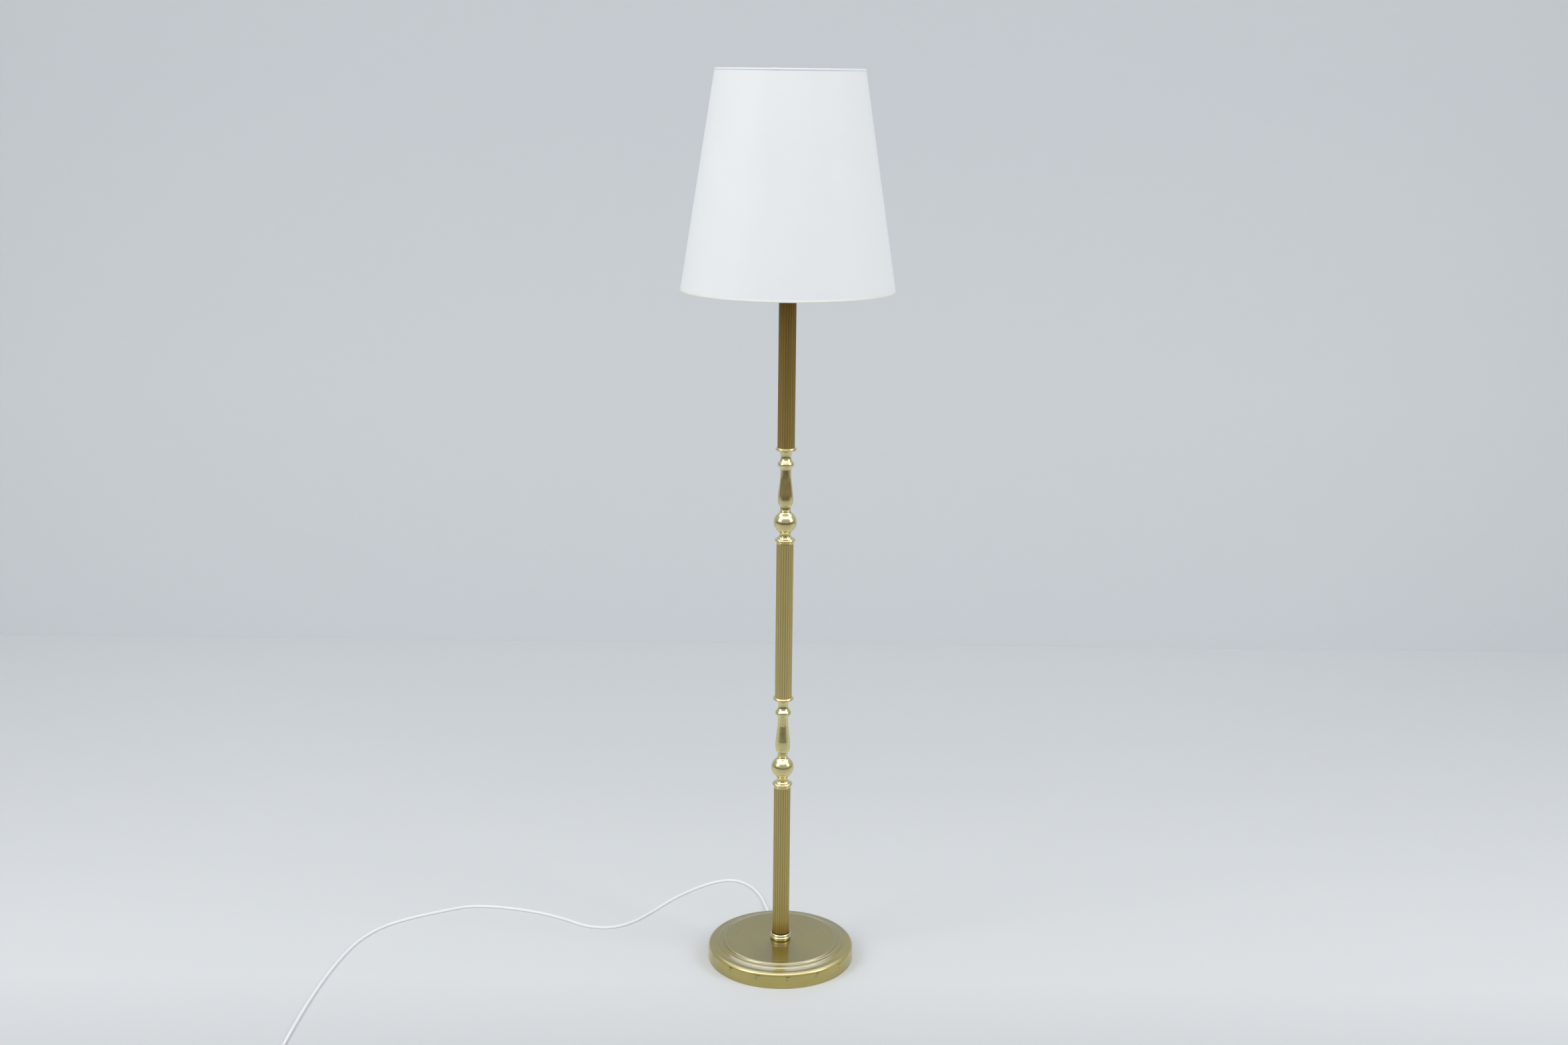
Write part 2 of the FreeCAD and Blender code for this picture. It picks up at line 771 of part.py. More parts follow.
def tie_rod():
    body = new_body("tie_rod")
    sketch = new_sketch(body, "tie_rod_round", "XY_Plane")
    circle(sketch, "rod_radius")
    circle(sketch, "rod_bore_radius")
    pad(body, sketch, f"{ROD_TOP} - ({ROD_FOOT})")
    place(body, z=ROD_FOOT)


def lampholder():
    """Cap on the tie rod, threaded sleeve, ceramic insert, screw shell, contacts and terminals."""
    cap = new_body("holder_cap")
    dome_radius, dome_height = HOLDER_DOME_SHARES
    inner = "holder_radius - holder_wall"
    under_floor = "holder_floor_height - holder_wall"
    revolve(cap, [
        (BORE, "0"),
        ("holder_boss_radius", "0"),
        ("holder_boss_radius", under_floor),
        (
            f"holder_boss_radius + (holder_radius - holder_boss_radius) * {dome_radius}",
            f"{under_floor} + (holder_shoulder_height - ({under_floor})) * {dome_height}",
            "holder_radius", "holder_shoulder_height",
        ),
        ("holder_radius", "holder_cap_height"),
        (inner, "holder_cap_height"),
        (inner, "holder_shoulder_height"),
        (
            f"holder_boss_radius + ({inner} - holder_boss_radius) * {dome_radius}",
            f"holder_floor_height + (holder_shoulder_height - holder_floor_height) * {dome_height}",
            "holder_boss_radius", "holder_floor_height",
        ),
        (BORE, "holder_floor_height"),
    ])
    side_hole = new_sketch(cap, "switch_hole", "YZ_Plane")
    circle(side_hole, "switch_bush_radius + screw_clearance", y="switch_height")
    pocket(cap, side_hole, "holder_radius + overrun", reverse=True)
    place(cap, z=HOLDER_FOOT)

    sleeve = new_body("holder_sleeve")
    core = "holder_radius - thread_depth"
    pitch = "((sleeve_height - thread_margin_height * 2) / thread_turns)"
    outline = [(inner, "0"), (core, "0")]
    for turn in range(int(number("thread_turns"))):
        start = f"thread_margin_height + {pitch} * {turn}"
        outline += [
            (core, start),
            ("holder_radius", f"{start} + {pitch} / 4"),
            ("holder_radius", f"{start} + {pitch} / 2"),
            (core, f"{start} + {pitch} * 3 / 4"),
        ]
    outline += [
        (core, "sleeve_height"),
        ("sleeve_mouth_radius", "sleeve_height"),
        ("sleeve_mouth_radius", "sleeve_height - sleeve_lip_thickness"),
        (inner, "sleeve_height - sleeve_lip_thickness"),
    ]
    revolve(sleeve, outline)
    place(sleeve, z=SLEEVE_FOOT)

    insert = new_body("holder_insert")
    insert_height = "insert_drop_height + sleeve_height - sleeve_lip_thickness"
    revolve(insert, [
        ("wire_hole_radius", "0"),
        (f"{inner} - insert_clearance", "0"),
        (f"{inner} - insert_clearance", insert_height),
        ("insert_bore_radius", insert_height),
        ("insert_bore_radius", "insert_floor_thickness"),
        ("wire_hole_radius", "insert_floor_thickness"),
    ])
    holes = new_sketch(insert, "terminal_holes", "XY_Plane")
    for side in ("", "-"):
        circle(holes, "screw_radius + screw_clearance", f"{side}terminal_distance")
    pocket(insert, holes, "insert_floor_thickness", reverse=True)
    place(insert, z=INSERT_FOOT)

    shell = disc(
        "screw_shell", "shell_radius", "shell_radius - shell_wall", "shell_height",
        f"{INSERT_FOOT} + insert_floor_thickness + contact_height",
    )
    shell.Label = "screw_shell"
    contact = new_body("centre_contact")
    strip = new_sketch(contact, "contact_strip", "XZ_Plane")
    draw(strip, [
        ("-contact_length / 2", "0"),
        ("contact_length / 2", "0"),
        ("contact_length / 2", "contact_thickness"),
        ("contact_width / 2", "contact_thickness"),
        ("contact_width / 2", "contact_height"),
        ("-contact_width / 2", "contact_height"),
        ("-contact_width / 2", "contact_thickness"),
        ("-contact_length / 2", "contact_thickness"),
    ])
    bent = pad(contact, strip, "contact_width")
    bent.Midplane = True
    place(contact, z=f"{INSERT_FOOT} + insert_floor_thickness")
    terminals = []
    for number_of, side in enumerate(("", "-"), start=1):
        x = f"{side}terminal_distance"
        name = f"terminal_{number_of}"
        head = cylinder(
            f"{name}_head", "terminal_head_radius", "terminal_head_height", x,
            z=f"{INSERT_FOOT} - terminal_head_height",
        )
        shank = cylinder(f"{name}_shank", "screw_radius", "terminal_length", x, z=INSERT_FOOT)
        joined = doc.addObject("Part::Fuse", name)
        joined.Base = head
        joined.Tool = shank
        terminals.append(joined)
    group("terminal_screws", terminals)


def side_body(label, distance):
    """A body whose Z axis points along +X at the switch's height, at a distance from the stem."""
    body = new_body(label)
    body.Placement = Placement(Vector(0, 0, 0), Rotation(Vector(0, 1, 0), 90))
    body.setExpression(".Placement.Base.x", bound(distance))
    body.setExpression(".Placement.Base.z", bound(f"{HOLDER_FOOT} + switch_height"))
    return body


def rotary_switch():
    """Switch box inside the holder's cap, bush through its wall, shaft and fluted knob."""
    wall = "holder_radius - holder_wall"
    box = side_body("switch_box", f"{wall} - switch_box_length")
    face = new_sketch(box, "switch_box_face", "XY_Plane")
    draw(face, [
        ("-switch_box_height / 2", "-switch_box_width / 2"),
        ("switch_box_height / 2", "-switch_box_width / 2"),
        ("switch_box_height / 2", "switch_box_width / 2"),
        ("-switch_box_height / 2", "switch_box_width / 2"),
    ])
    pad(box, face, "switch_box_length - switch_bush_radius / 2")
    hole_foot = "switch_box_length - switch_shaft_depth - switch_bush_radius / 2"
    hole = new_sketch(box, "switch_box_hole", "XY_Plane", hole_foot)
    circle(hole, "switch_shaft_radius + switch_shaft_clearance")
    pocket(box, hole, "switch_shaft_depth + overrun", reverse=True)

    bush = side_body("switch_bush", f"{wall} - switch_bush_radius / 2")
    round_bush = new_sketch(bush, "switch_bush_round", "XY_Plane")
    circle(round_bush, "switch_bush_radius")
    circle(round_bush, "switch_shaft_radius + switch_shaft_clearance")
    pad(bush, round_bush, "switch_bush_radius / 2 + holder_wall + switch_bush_length")

    shaft_start = f"{wall} - switch_bush_radius / 2 - switch_shaft_depth + knob_gap"
    knob_start = "holder_radius + switch_bush_length + knob_gap"
    shaft = side_body("switch_shaft", shaft_start)
    round_shaft = new_sketch(shaft, "switch_shaft_round", "XY_Plane")
    circle(round_shaft, "switch_shaft_radius")
    pad(shaft, round_shaft, f"{knob_start} + knob_bore_depth - ({shaft_start})")

    knob = side_body("switch_knob", knob_start)
    quarter = f"knob_rounding_radius * {QUARTER_CROWN_SHARE}"
    revolve(knob, [
        ("0", "0"),
        ("knob_radius", "0"),
        ("knob_radius", "knob_length - knob_rounding_radius"),
        (
            f"knob_radius - knob_rounding_radius + {quarter}",
            f"knob_length - knob_rounding_radius + {quarter}",
            "knob_radius - knob_rounding_radius",
            "knob_length",
        ),
        ("0", "knob_length"),
    ])
    flute = new_sketch(knob, "switch_knob_flute", "XY_Plane")
    circle(flute, "knob_flute_radius", "knob_radius + knob_flute_radius - knob_flute_depth")
    cut = pocket(knob, flute, "knob_length", reverse=True)
    around(knob, [cut], "knob_flutes")
    bore = new_sketch(knob, "switch_knob_bore", "XY_Plane")
    circle(bore, "switch_shaft_radius + screw_clearance")
    pocket(knob, bore, "knob_bore_depth", reverse=True)


def bulb():
    """Round frosted bulb: glass, screw cap and centre contact."""
    contact_top = f"{INSERT_FOOT} + insert_floor_thickness + contact_height"
    tip = new_body("bulb_contact")
    revolve(tip, [
        ("0", "0"),
        ("bulb_tip_radius", "0"),
        ("bulb_cap_radius - bulb_cap_wall", "bulb_tip_height"),
        ("0", "bulb_tip_height"),
    ])
    place(tip, z=contact_top)
    disc(
        "bulb_cap", "bulb_cap_radius", "bulb_cap_radius - bulb_cap_wall", "bulb_cap_height",
        f"{contact_top} + bulb_tip_height",
    )
    glass = new_body("bulb_glass")
    middle = "bulb_height - bulb_radius"
    outline = by_share(BULB_SHARES, "bulb_radius", middle)
    inner = by_share(BULB_SHARES, "bulb_radius - bulb_wall", middle)
    crown = f"bulb_radius * {QUARTER_CROWN_SHARE}"
    inner_crown = f"(bulb_radius - bulb_wall) * {QUARTER_CROWN_SHARE}"
    outline += [
        (crown, f"{middle} + {crown}", "0", "bulb_height"),
        ("0", "bulb_height - bulb_wall"),
        (inner_crown, f"{middle} + {inner_crown}", *inner[-1][-2:]),
    ]
    for row, before in zip(reversed(inner[1:]), reversed(inner[:-1])):
        outline.append((*row[:-2], *before[-2:]))
    revolve(glass, outline)
    place(glass, z=f"{contact_top} + bulb_tip_height + bulb_cap_height")


def ring_nut(label, foot, upside_down):
    """A threaded ring with a flange against the shade's centre ring and a fluted grip."""
    body = new_body(label)
    bore = "holder_radius + ring_nut_clearance"
    chamfer = f"ring_nut_height * {RING_NUT_CHAMFER_SHARE}"
    revolve(body, [
        (bore, "0"),
        ("ring_nut_radius", "0"),
        ("ring_nut_radius", "ring_nut_flange_thickness"),
        ("ring_nut_grip_radius", "ring_nut_flange_thickness"),
        ("ring_nut_grip_radius", f"ring_nut_height - {chamfer}"),
        (f"ring_nut_grip_radius - {chamfer}", "ring_nut_height"),
        (bore, "ring_nut_height"),
    ])
    flute = new_sketch(body, f"{label}_flute", "XY_Plane", "ring_nut_flange_thickness")
    circle(flute, "ring_nut_flute_radius", "ring_nut_grip_radius")
    cut = pocket(body, flute, "ring_nut_height", reverse=True)
    around(body, [cut], "ring_nut_flutes")
    if upside_down:
        body.Placement = Placement(Vector(0, 0, 0), Rotation(Vector(1, 0, 0), 180))
    body.setExpression(".Placement.Base.z", bound(foot))


def shade():
    """Cone shade on a centre ring with three bent wire arms and a hoop at each rim."""
    centre = disc(
        "centre_ring", "centre_ring_radius", "holder_radius + centre_ring_clearance",
        "centre_ring_thickness", RING_SEAT,
    )
    centre.Label = "centre_ring"
    inward = "(shade_wall + hoop_radius + hoop_gap)"
    slant = "(shade_bottom_radius - shade_top_radius) / shade_height"
    low_radius = f"shade_bottom_radius - {inward} - hoop_radius * {slant}"
    high_radius = f"shade_top_radius - {inward} + hoop_radius * {slant}"
    hoop("bottom_hoop", low_radius, f"{SHADE_FOOT} + hoop_radius")
    hoop("top_hoop", high_radius, f"{SHADE_FOOT} + shade_height - hoop_radius")

    skin = new_body("shade_skin")
    revolve(skin, [
        ("shade_bottom_radius - shade_wall", "0"),
        ("shade_bottom_radius", "0"),
        ("shade_top_radius", "shade_height"),
        ("shade_top_radius - shade_wall", "shade_height"),
    ])
    place(skin, z=SHADE_FOOT)

    high = number(f"{RING_SEAT} + centre_ring_thickness / 2")
    low = number(f"{SHADE_FOOT} + hoop_radius")
    start = number("centre_ring_radius")
    end = number(f"{low_radius} - hoop_radius")
    route = [
        Vector(start, 0, high),
        Vector(start + number("arm_top_length"), 0, high),
        Vector(end - number("arm_foot_length"), 0, low),
        Vector(end, 0, low),
    ]
    arm = pipe(bent_wire(route, number("arm_bend_radius")), number("arm_radius"))
    count = int(number("arm_count"))
    arms = []
    for turn in range(count):
        copy = arm.copy()
        copy.rotate(Vector(0, 0, 0), Vector(0, 0, 1), 360 / count * turn)
        arms.append(copy)
    solid_feature("shade_arms", Part.makeCompound(arms))


def hoop(label, radius, height):
    ring = doc.addObject("Part::Torus", label)
    ring.setExpression("Radius1", bound(radius))
    ring.setExpression("Radius2", bound("hoop_radius"))
    place(ring, z=height)
    node(ring, label)


def bent_wire(points, radius):
    """Straight runs joined by tangent arcs of one radius."""
    edges = []
    at = points[0]
    for before, corner, after in zip(points, points[1:], points[2:]):
        into = (corner - before).normalize()
        out = (after - corner).normalize()
        turn = into.getAngle(out)
        reach = radius * math.tan(turn / 2)
        at = add_corner(edges, at, corner, into, out, reach, radius, turn)
    edges.append(Part.LineSegment(at, points[-1]).toShape())
    return Part.Wire(edges)


def add_corner(edges, at, corner, into, out, reach, radius, turn):
    """A run up to a corner and the arc round it; returns where the arc ends."""
    first = corner - into * reach
    last = corner + out * reach
    towards = (out - into).normalize()
    crown = corner + towards * (radius / math.cos(turn / 2) - radius)
    edges.append(Part.LineSegment(at, first).toShape())
    edges.append(Part.Arc(first, crown, last).toShape())
    return last


def loose_wire(label, points):
    """Straight runs joined by tangent arcs, each as large as its two runs allow; prints the radii."""
    edges = []
    radii = []
    at = points[0]
    for before, corner, after in zip(points, points[1:], points[2:]):
        reach = ARC_REACH_SHARE * min((corner - before).Length, (after - corner).Length)
        into = (corner - before).normalize()
        out = (after - corner).normalize()
        turn = into.getAngle(out)
        radius = reach / math.tan(turn / 2)
        radii.append(radius)
        at = add_corner(edges, at, corner, into, out, reach, radius, turn)
    edges.append(Part.LineSegment(at, points[-1]).toShape())
    print(label, "arc radii", " ".join(f"{radius:.0f}" for radius in radii))
    return Part.Wire(edges)


def pipe(path, radius):
    """A round solid along a path, its volume set against its section times its length."""
    start = path.Edges[0].Vertexes[0].Point
    heading = path.Edges[0].tangentAt(path.Edges[0].FirstParameter)
    ring = Part.Wire(Part.Circle(Vector(start), heading, radius).toShape())
    solid = path.makePipeShell([ring], True, False)
    if solid.Volume < 0:
        solid.reverse()
    expected = math.pi * radius**2 * path.Length
    print(f"pipe of {path.Length:.1f}: volume over section times length {solid.Volume / expected:.5f}")
    return solid


def solid_feature(label, shape, where=Placement()):
    """A sub-part whose shape is made in code."""
    feature = doc.addObject("Part::Feature", label)
    feature.Shape = shape
    feature.Placement = where
    return node(feature, label)


def exit_point(distance, height):
    """A point over the line on which the cord leaves the foot."""
    angle = math.radians(number("exit_turn"))
    return Vector(-distance * math.sin(angle), distance * math.cos(angle), height)


def inner_lead():
    """The cord's held stretch: in through the strain relief, along the channel and up the tie rod."""
    exit_height = number("exit_height")
    outside = number("base_radius + relief_length")
    top = number(f"{ROD_TOP} + lead_end_gap")
    route = [exit_point(outside, exit_height), Vector(0, 0, exit_height), Vector(0, 0, top)]
    solid_feature("inner_lead", pipe(bent_wire(route, number("lead_bend_radius")), number("cord_radius")))
    head = number(f"{INSERT_FOOT} - terminal_head_height")
    cores = []
    for side in (1, -1):
        near = side * number("core_distance")
        far = side * number("terminal_distance")
        run = number("core_run_length")
        # The two cores pass the switch box one each side of it
        beside = number("switch_box_width / 2 + core_radius * 2")
        points = [
            Vector(0, near, top),
            Vector(0, near, top + run),
            Vector(0, side * beside, top + run * 2),
            Vector(0, side * beside, head - run * 1.5),
            Vector(far, 0, head - run),
            Vector(far, 0, head),
        ]
        cores.append(pipe(loose_wire("core", points), number("core_radius")))
    solid_feature("wire_cores", Part.makeCompound(cores))


def cord():
    """The cord's free stretch, on the floor all the way."""
    radius = number("cord_radius")
    outside = number("base_radius + relief_length")
    start = exit_point(outside, number("exit_height"))
    straight = exit_point(outside + number("exit_run_length"), number("exit_height"))
    points = [start, straight] + [Vector(x, y, height * radius) for x, y, height in CORD_ROUTE]
    path = loose_wire("cord", points)
    solid_feature("cord", pipe(path, radius))
    return points[-1], path.Length


def biarc(first, first_heading, last, last_heading):
    """Two arcs that leave one point and reach another with given headings."""
    span = last - first
    both = first_heading + last_heading
    spread = 2 * (1 - first_heading.dot(last_heading))
    along = span.dot(both)
    reach = (-along + math.sqrt(along**2 + spread * span.dot(span))) / spread
    corner_one = first + first_heading * reach
    corner_two = last - last_heading * reach
    joint = (corner_one + corner_two) * 0.5
    edges = []
    for start, corner, end in ((first, corner_one, joint), (joint, corner_two, last)):
        into = (corner - start).normalize()
        out = (end - corner).normalize()
        turn = into.getAngle(out)
        bend = reach / math.tan(turn / 2)
        crown = corner + (out - into).normalize() * (bend / math.cos(turn / 2) - bend)
        edges.append(Part.Arc(start, crown, end).toShape())
    return edges


def cord_coil(start):
    """The put-away length: turns that spiral in on the floor and out again on top of themselves."""
    radius = number("cord_radius")
    spacing = number("cord_radius * 2 + turn_gap")
    quarters = int(number("coil_quarters"))
    half = quarters / 2
    widest = number("coil_middle_radius") + spacing * half / 8
    knots = []
    for quarter in range(quarters + 1):
        angle = math.pi + math.pi / 2 * quarter
        reach = widest - spacing * (half - abs(quarter - half)) / 4
        climbed = min(max((quarter - half + 1) / 2, 0), 1)
        outward = Vector(math.cos(angle), math.sin(angle), 0)
        forward = Vector(-math.sin(angle), math.cos(angle), 0)
        at = outward * reach + Vector(0, 0, spacing * climbed)
        rate = 0
        if 0 < quarter < quarters and quarter != half:
            rate = math.copysign(spacing / (2 * math.pi), quarter - half)
        slope = spacing / math.pi * 1.5 if abs(quarter - half) < 1 else 0
        knots.append((at, (forward * reach + outward * rate + Vector(0, 0, slope)).normalize()))
    heading = knots[0][1]
    first = knots[0][0] - heading * (radius * 2)
    last = knots[-1][0] + knots[-1][1] * number("coil_tail_length")
    edges = [Part.LineSegment(first, knots[0][0]).toShape()]
    for (point, direction), (following, following_direction) in zip(knots, knots[1:]):
        edges += biarc(point, direction, following, following_direction)
    edges.append(Part.LineSegment(knots[-1][0], last).toShape())
    path = Part.Wire(edges)
    print_least_gap(path, radius)
    where = Placement(start - first, Rotation())
    solid_feature("cord_coil", pipe(path, radius), where)
    return last + start - first, path.Length


def print_least_gap(path, radius):
    """The least gap of a coil's tube to itself, on points one radius apart."""
    points = path.discretize(Distance=radius)
    far_enough = 8
    gap = min(
        (one - other).Length
        for place_in_list, one in enumerate(points)
        for other in points[place_in_list + far_enough:]
    )
    print(f"coil: least gap to itself {gap - 2 * radius:.2f}")


def plug(start):
    """Flat two-pin plug that lies on the floor, its axis at the height of the coil's upper layer."""
    body = new_body("plug_body")
    revolve(body, [
        ("0", "0"),
        ("plug_nose_tip_radius", "0"),
        ("plug_nose_root_radius", "plug_nose_length"),
        ("0", "plug_nose_length"),
    ], "nose")
    half_thick = "(cord_radius * 2 + turn_gap + cord_radius)"
    side = f"plug_width / 2 - {half_thick}"
    grip = new_sketch(body, "plug_grip", "XY_Plane", "plug_nose_length")
    draw(grip, [
        (side, f"-{half_thick}"),
        ("plug_width / 2", "0", side, half_thick),
        (f"-({side})", half_thick),
        ("-plug_width / 2", "0", f"-({side})", f"-{half_thick}"),
    ])
    block = pad(body, grip, "plug_length")
    rounding = body.newObject("PartDesign::Fillet", "plug_rounding")
    ends = [number("plug_nose_length"), number("plug_nose_length + plug_length")]
    least_width = number("plug_nose_root_radius") * EDGE_WIDTH_SHARE
    edges = []
    for place_in_list, edge in enumerate(block.Shape.Edges, start=1):
        box = edge.BoundBox
        flat = any(max(abs(box.ZMin - end), abs(box.ZMax - end)) < NEAR for end in ends)
        if flat and max(box.XLength, box.YLength) > least_width:
            edges.append(f"Edge{place_in_list}")
    rounding.Base = (block, edges)
    rounding.setExpression("Radius", bound("plug_fillet_radius"))
    body.Tip = rounding
    doc.recompute()
    body.Placement = Placement(start, Rotation(Vector(1, 0, 0), 90))
    pins = []
    for sign in ("", "-"):
        name = "plug_pin_" + ("left" if sign else "right")
        pin = cylinder(
            name, "pin_radius", "pin_length", f"{sign}pin_distance", z="plug_nose_length + plug_length",
        )
        pins.append(pin)
    both = doc.addObject("Part::Compound", "plug_pins")
    both.Links = pins
    both.Placement = Placement(start, Rotation(Vector(1, 0, 0), 90))
    node(both, "plug_pins")


disc("foot_pad", f"{WEIGHT_RADIUS} - pad_edge_gap", "", "pad_thickness", "0")
base_weight()
base_cover()
disc("base_washer", "washer_radius", BORE, "washer_thickness", WASHER_FOOT)
hex_nut("base_nut", "base_nut_height", f"{WASHER_FOOT} - base_nut_height")
cord_exit()
turned_piece(
    "base_collar", COLLAR_SHARES, "collar_radius", "collar_height", "plateau_height", spigot_above=True,
)
fluted_tube("lower_tube", TUBE_FOOT)
baluster("lower", LOWER_BALUSTER_FOOT)
fluted_tube("middle_tube", MIDDLE_TUBE_FOOT)
baluster("upper", UPPER_BALUSTER_FOOT)
fluted_tube("upper_tube", UPPER_TUBE_FOOT)
turned_piece(
    "stem_cap", STEM_CAP_SHARES, "stem_cap_radius", "stem_cap_height", STEM_TOP, spigot_below=True,
)
hex_nut("stem_nut", "stem_nut_height", f"{STEM_TOP} + stem_cap_height")
tie_rod()
lampholder()
rotary_switch()
bulb()
ring_nut("lower_ring_nut", f"{RING_SEAT} - ring_play_gap", True)
ring_nut("upper_ring_nut", f"{RING_SEAT} + centre_ring_thickness + ring_play_gap", False)
shade()
inner_lead()
cord_end, cord_length = cord()
coil_end, coil_length = cord_coil(cord_end)
plug(coil_end)
print(f"free cord: {cord_length:.0f} on the floor and {coil_length:.0f} in the coil")

doc.recompute()
for item in doc.Objects:
    if "Invalid" in item.State or "Error" in item.State:
        raise RuntimeError(f"{item.Name} did not recompute: {item.State}")
for item in NODES:
    if item.Shape.isNull() or not item.Shape.isValid():
        raise RuntimeError(f"{item.Label} has no valid shape")

os.makedirs("parts", exist_ok=True)
for item in NODES:
    item.Shape.exportStep(f"parts/{item.Label}.step")
print(f"{len(NODES)} sub-parts, top at {max(item.Shape.BoundBox.ZMax for item in NODES):.1f}")
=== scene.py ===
import math

import bmesh
import bpy
from mathutils import Matrix, Vector


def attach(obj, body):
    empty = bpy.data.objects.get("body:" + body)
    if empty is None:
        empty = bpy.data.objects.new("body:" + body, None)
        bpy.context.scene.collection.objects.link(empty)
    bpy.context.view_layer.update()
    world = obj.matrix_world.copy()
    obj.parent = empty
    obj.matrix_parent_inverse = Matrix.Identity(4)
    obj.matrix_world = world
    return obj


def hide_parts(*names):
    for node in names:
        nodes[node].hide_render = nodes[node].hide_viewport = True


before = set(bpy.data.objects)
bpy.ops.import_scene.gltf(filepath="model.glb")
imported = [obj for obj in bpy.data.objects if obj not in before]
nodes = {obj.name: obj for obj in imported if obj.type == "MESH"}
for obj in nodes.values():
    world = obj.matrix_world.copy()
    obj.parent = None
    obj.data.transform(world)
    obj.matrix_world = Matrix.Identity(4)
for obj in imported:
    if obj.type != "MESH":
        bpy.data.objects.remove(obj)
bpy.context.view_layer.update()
scene = bpy.context.scene

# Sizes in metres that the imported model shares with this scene
CORD_RADIUS = 0.0025
EXIT_TURN = math.radians(8.5)
EXIT_DISTANCE = 0.1542
EXIT_HEIGHT = 0.0075
EXIT_RUN = 0.014
COIL_TURNS = 3
COIL_MIDDLE = 0.0272
TURN_STEP = 0.00555
SHADE_FOOT = 1.179
SHADE_HEIGHT = 0.35
SHADE_BOTTOM = 0.175
SHADE_TOP = 0.12
SHADE_WALL = 0.0008

# Bottom and top height of each fluted tube, and the radii of a flute's floor and of the land beside it
LOWER_TUBE = (0.0465, 0.3177)
MIDDLE_TUBE = (0.4823, 0.7535)
UPPER_TUBE = (0.9181, 1.1893)
FLUTE_DEPTH = (0.01405, 0.0145)
# A browner band at a tube's foot is darkest up to the first of these heights above its tube's bottom, and
# gone at the second
BROWN_FOOT_HEIGHTS = (0.004, 0.026)

# Bands in which the foot's look changes: radii from the outside in, and the dull cove around the plateau
SHOULDER_BAND = (0.1260, 0.1225)
PLATEAU_BAND = (0.1000, 0.0955)
COVE_RADIUS = 0.0932
COVE_REACH = 0.0042

# Dark nicks around the foot: how many, the first one's angle in degrees, and the arc from one to the next.
# How far a nick reaches, in its own sizes, is the noise times its gain less the inset, then sharpened
NICKS = 15
NICK_START = -84
NICK_ARC = 0.0533
NICK_RAGGED = 3.4
NICK_INSET = 0.5
NICK_SHARPNESS = 1.1

# The collar's groove: painted shade darkens it inside this radius and above this height
GROOVE_RADII = (0.0157, 0.0152)
GROOVE_HEIGHTS = (0.0425, 0.0433)

# Tape of the shade's bindings: its thickness, its reach down the card and its rolled fold over the edge
TAPE = 0.00035
TAPE_DEPTH = 0.0032
TAPE_FOLD = 0.0004
TAPE_ROLL_SHARE = 0.7
TAPE_STEPS = 240
SKIN_GAP = 0.00002
# Where the tape's ends lap: half the lap and its soft edge in radians, and its rise as shares of the tape
TAPE_LAP = 0.055
TAPE_LAP_EDGE = 0.012
TAPE_LAP_OUT_SHARE = 0.7
TAPE_LAP_DOWN_SHARE = 0.8

# Glued lap of the shade's card
LAP_WIDTH = 0.010
LAP_THICKNESS = 0.0004
LAP_INSET = 0.0034
LAP_GAP = 0.00003
LAP_ROWS = 24

# The stage, and how far out and how far to the front it darkens in the brass
STAGE_REACH = 6
WALL_Y = 1.85
WALL_TOP = 1.85
FAR_BAND = (2.3, 3.1)
FRONT_BAND = (-0.2, -0.7)

# The room: its light, and the directions between which its front, its horizon and its ceiling begin
WORLD_STRENGTH = 0.575
ROOM = (0.94, 0.955, 0.98, 1)
ROOM_BAND = (0.36, 0.30, 0.26, 1)
CEILING = (3.1, 3.3, 4.6, 1)
SEEN_BEHIND = (1.1, 1.16, 1.24, 1)
ROOM_FRONT = (0.3, 0.1)
ROOM_HORIZON = (0.15, 0.06)
ROOM_CEILING = (0.62, 0.74)

# Camera at the photograph's place and angle
LENS = 42.717
PITCH = math.radians(13.585)
ROLL = math.radians(0.643)
CAMERA_PLACE = (-0.0021, -3.02993, 1.52174)

camera_data = bpy.data.cameras.new("camera")
camera_data.sensor_fit = "HORIZONTAL"
camera_data.sensor_width = 36
camera_data.lens = LENS
camera_data.clip_end = 50
camera = bpy.data.objects.new("camera", camera_data)
scene.collection.objects.link(camera)
camera.matrix_world = (
    Matrix.Translation(CAMERA_PLACE)
    @ Matrix.Rotation(math.pi / 2 - PITCH, 4, "X")
    @ Matrix.Rotation(ROLL, 4, "Z")
)
scene.camera = camera
scene.view_settings.view_transform = "Standard"


# Node tools

def srgb(red, green, blue):
    """A picture colour from 0 to 255 as the linear colour that a shader takes."""
    def linear(value):
        value /= 255
        return value / 12.92 if value <= 0.04045 else ((value + 0.055) / 1.055) ** 2.4
    return (linear(red), linear(green), linear(blue), 1)


def grey(value):
    return (value, value, value, 1)


def node_adder(tree):
    """A helper that adds a node to the tree, with its settings, and links or sets its inputs."""
    def add(kind, inputs=None, **settings):
        made = tree.nodes.new(kind)
        for key, value in settings.items():
            setattr(made, key, value)
        for key, value in (inputs or {}).items():
            if isinstance(value, bpy.types.NodeSocket):
                tree.links.new(value, made.inputs[key])
            else:
                made.inputs[key].default_value = value
        return made
    return add


def shader(name, values):
    """A new material with these principled values, its node helper and one that links to the shader."""
    material = bpy.data.materials.new(name)
    material.use_nodes = True
    tree = material.node_tree
    principled = tree.nodes["Principled BSDF"]
    for key, value in values.items():
        principled.inputs[key].default_value = value

    def link(output, socket):
        tree.links.new(output, principled.inputs[socket])

    return material, node_adder(tree), link


def maths(add, operation, first, second=0.0, third=0.0):
    return add("ShaderNodeMath", {0: first, 1: second, 2: third}, operation=operation).outputs[0]


def mix(add, factor, low, high, blend="MIX"):
    made = add("ShaderNodeMix", {0: factor, 6: low, 7: high}, data_type="RGBA", blend_type=blend)
    return made.outputs[2]


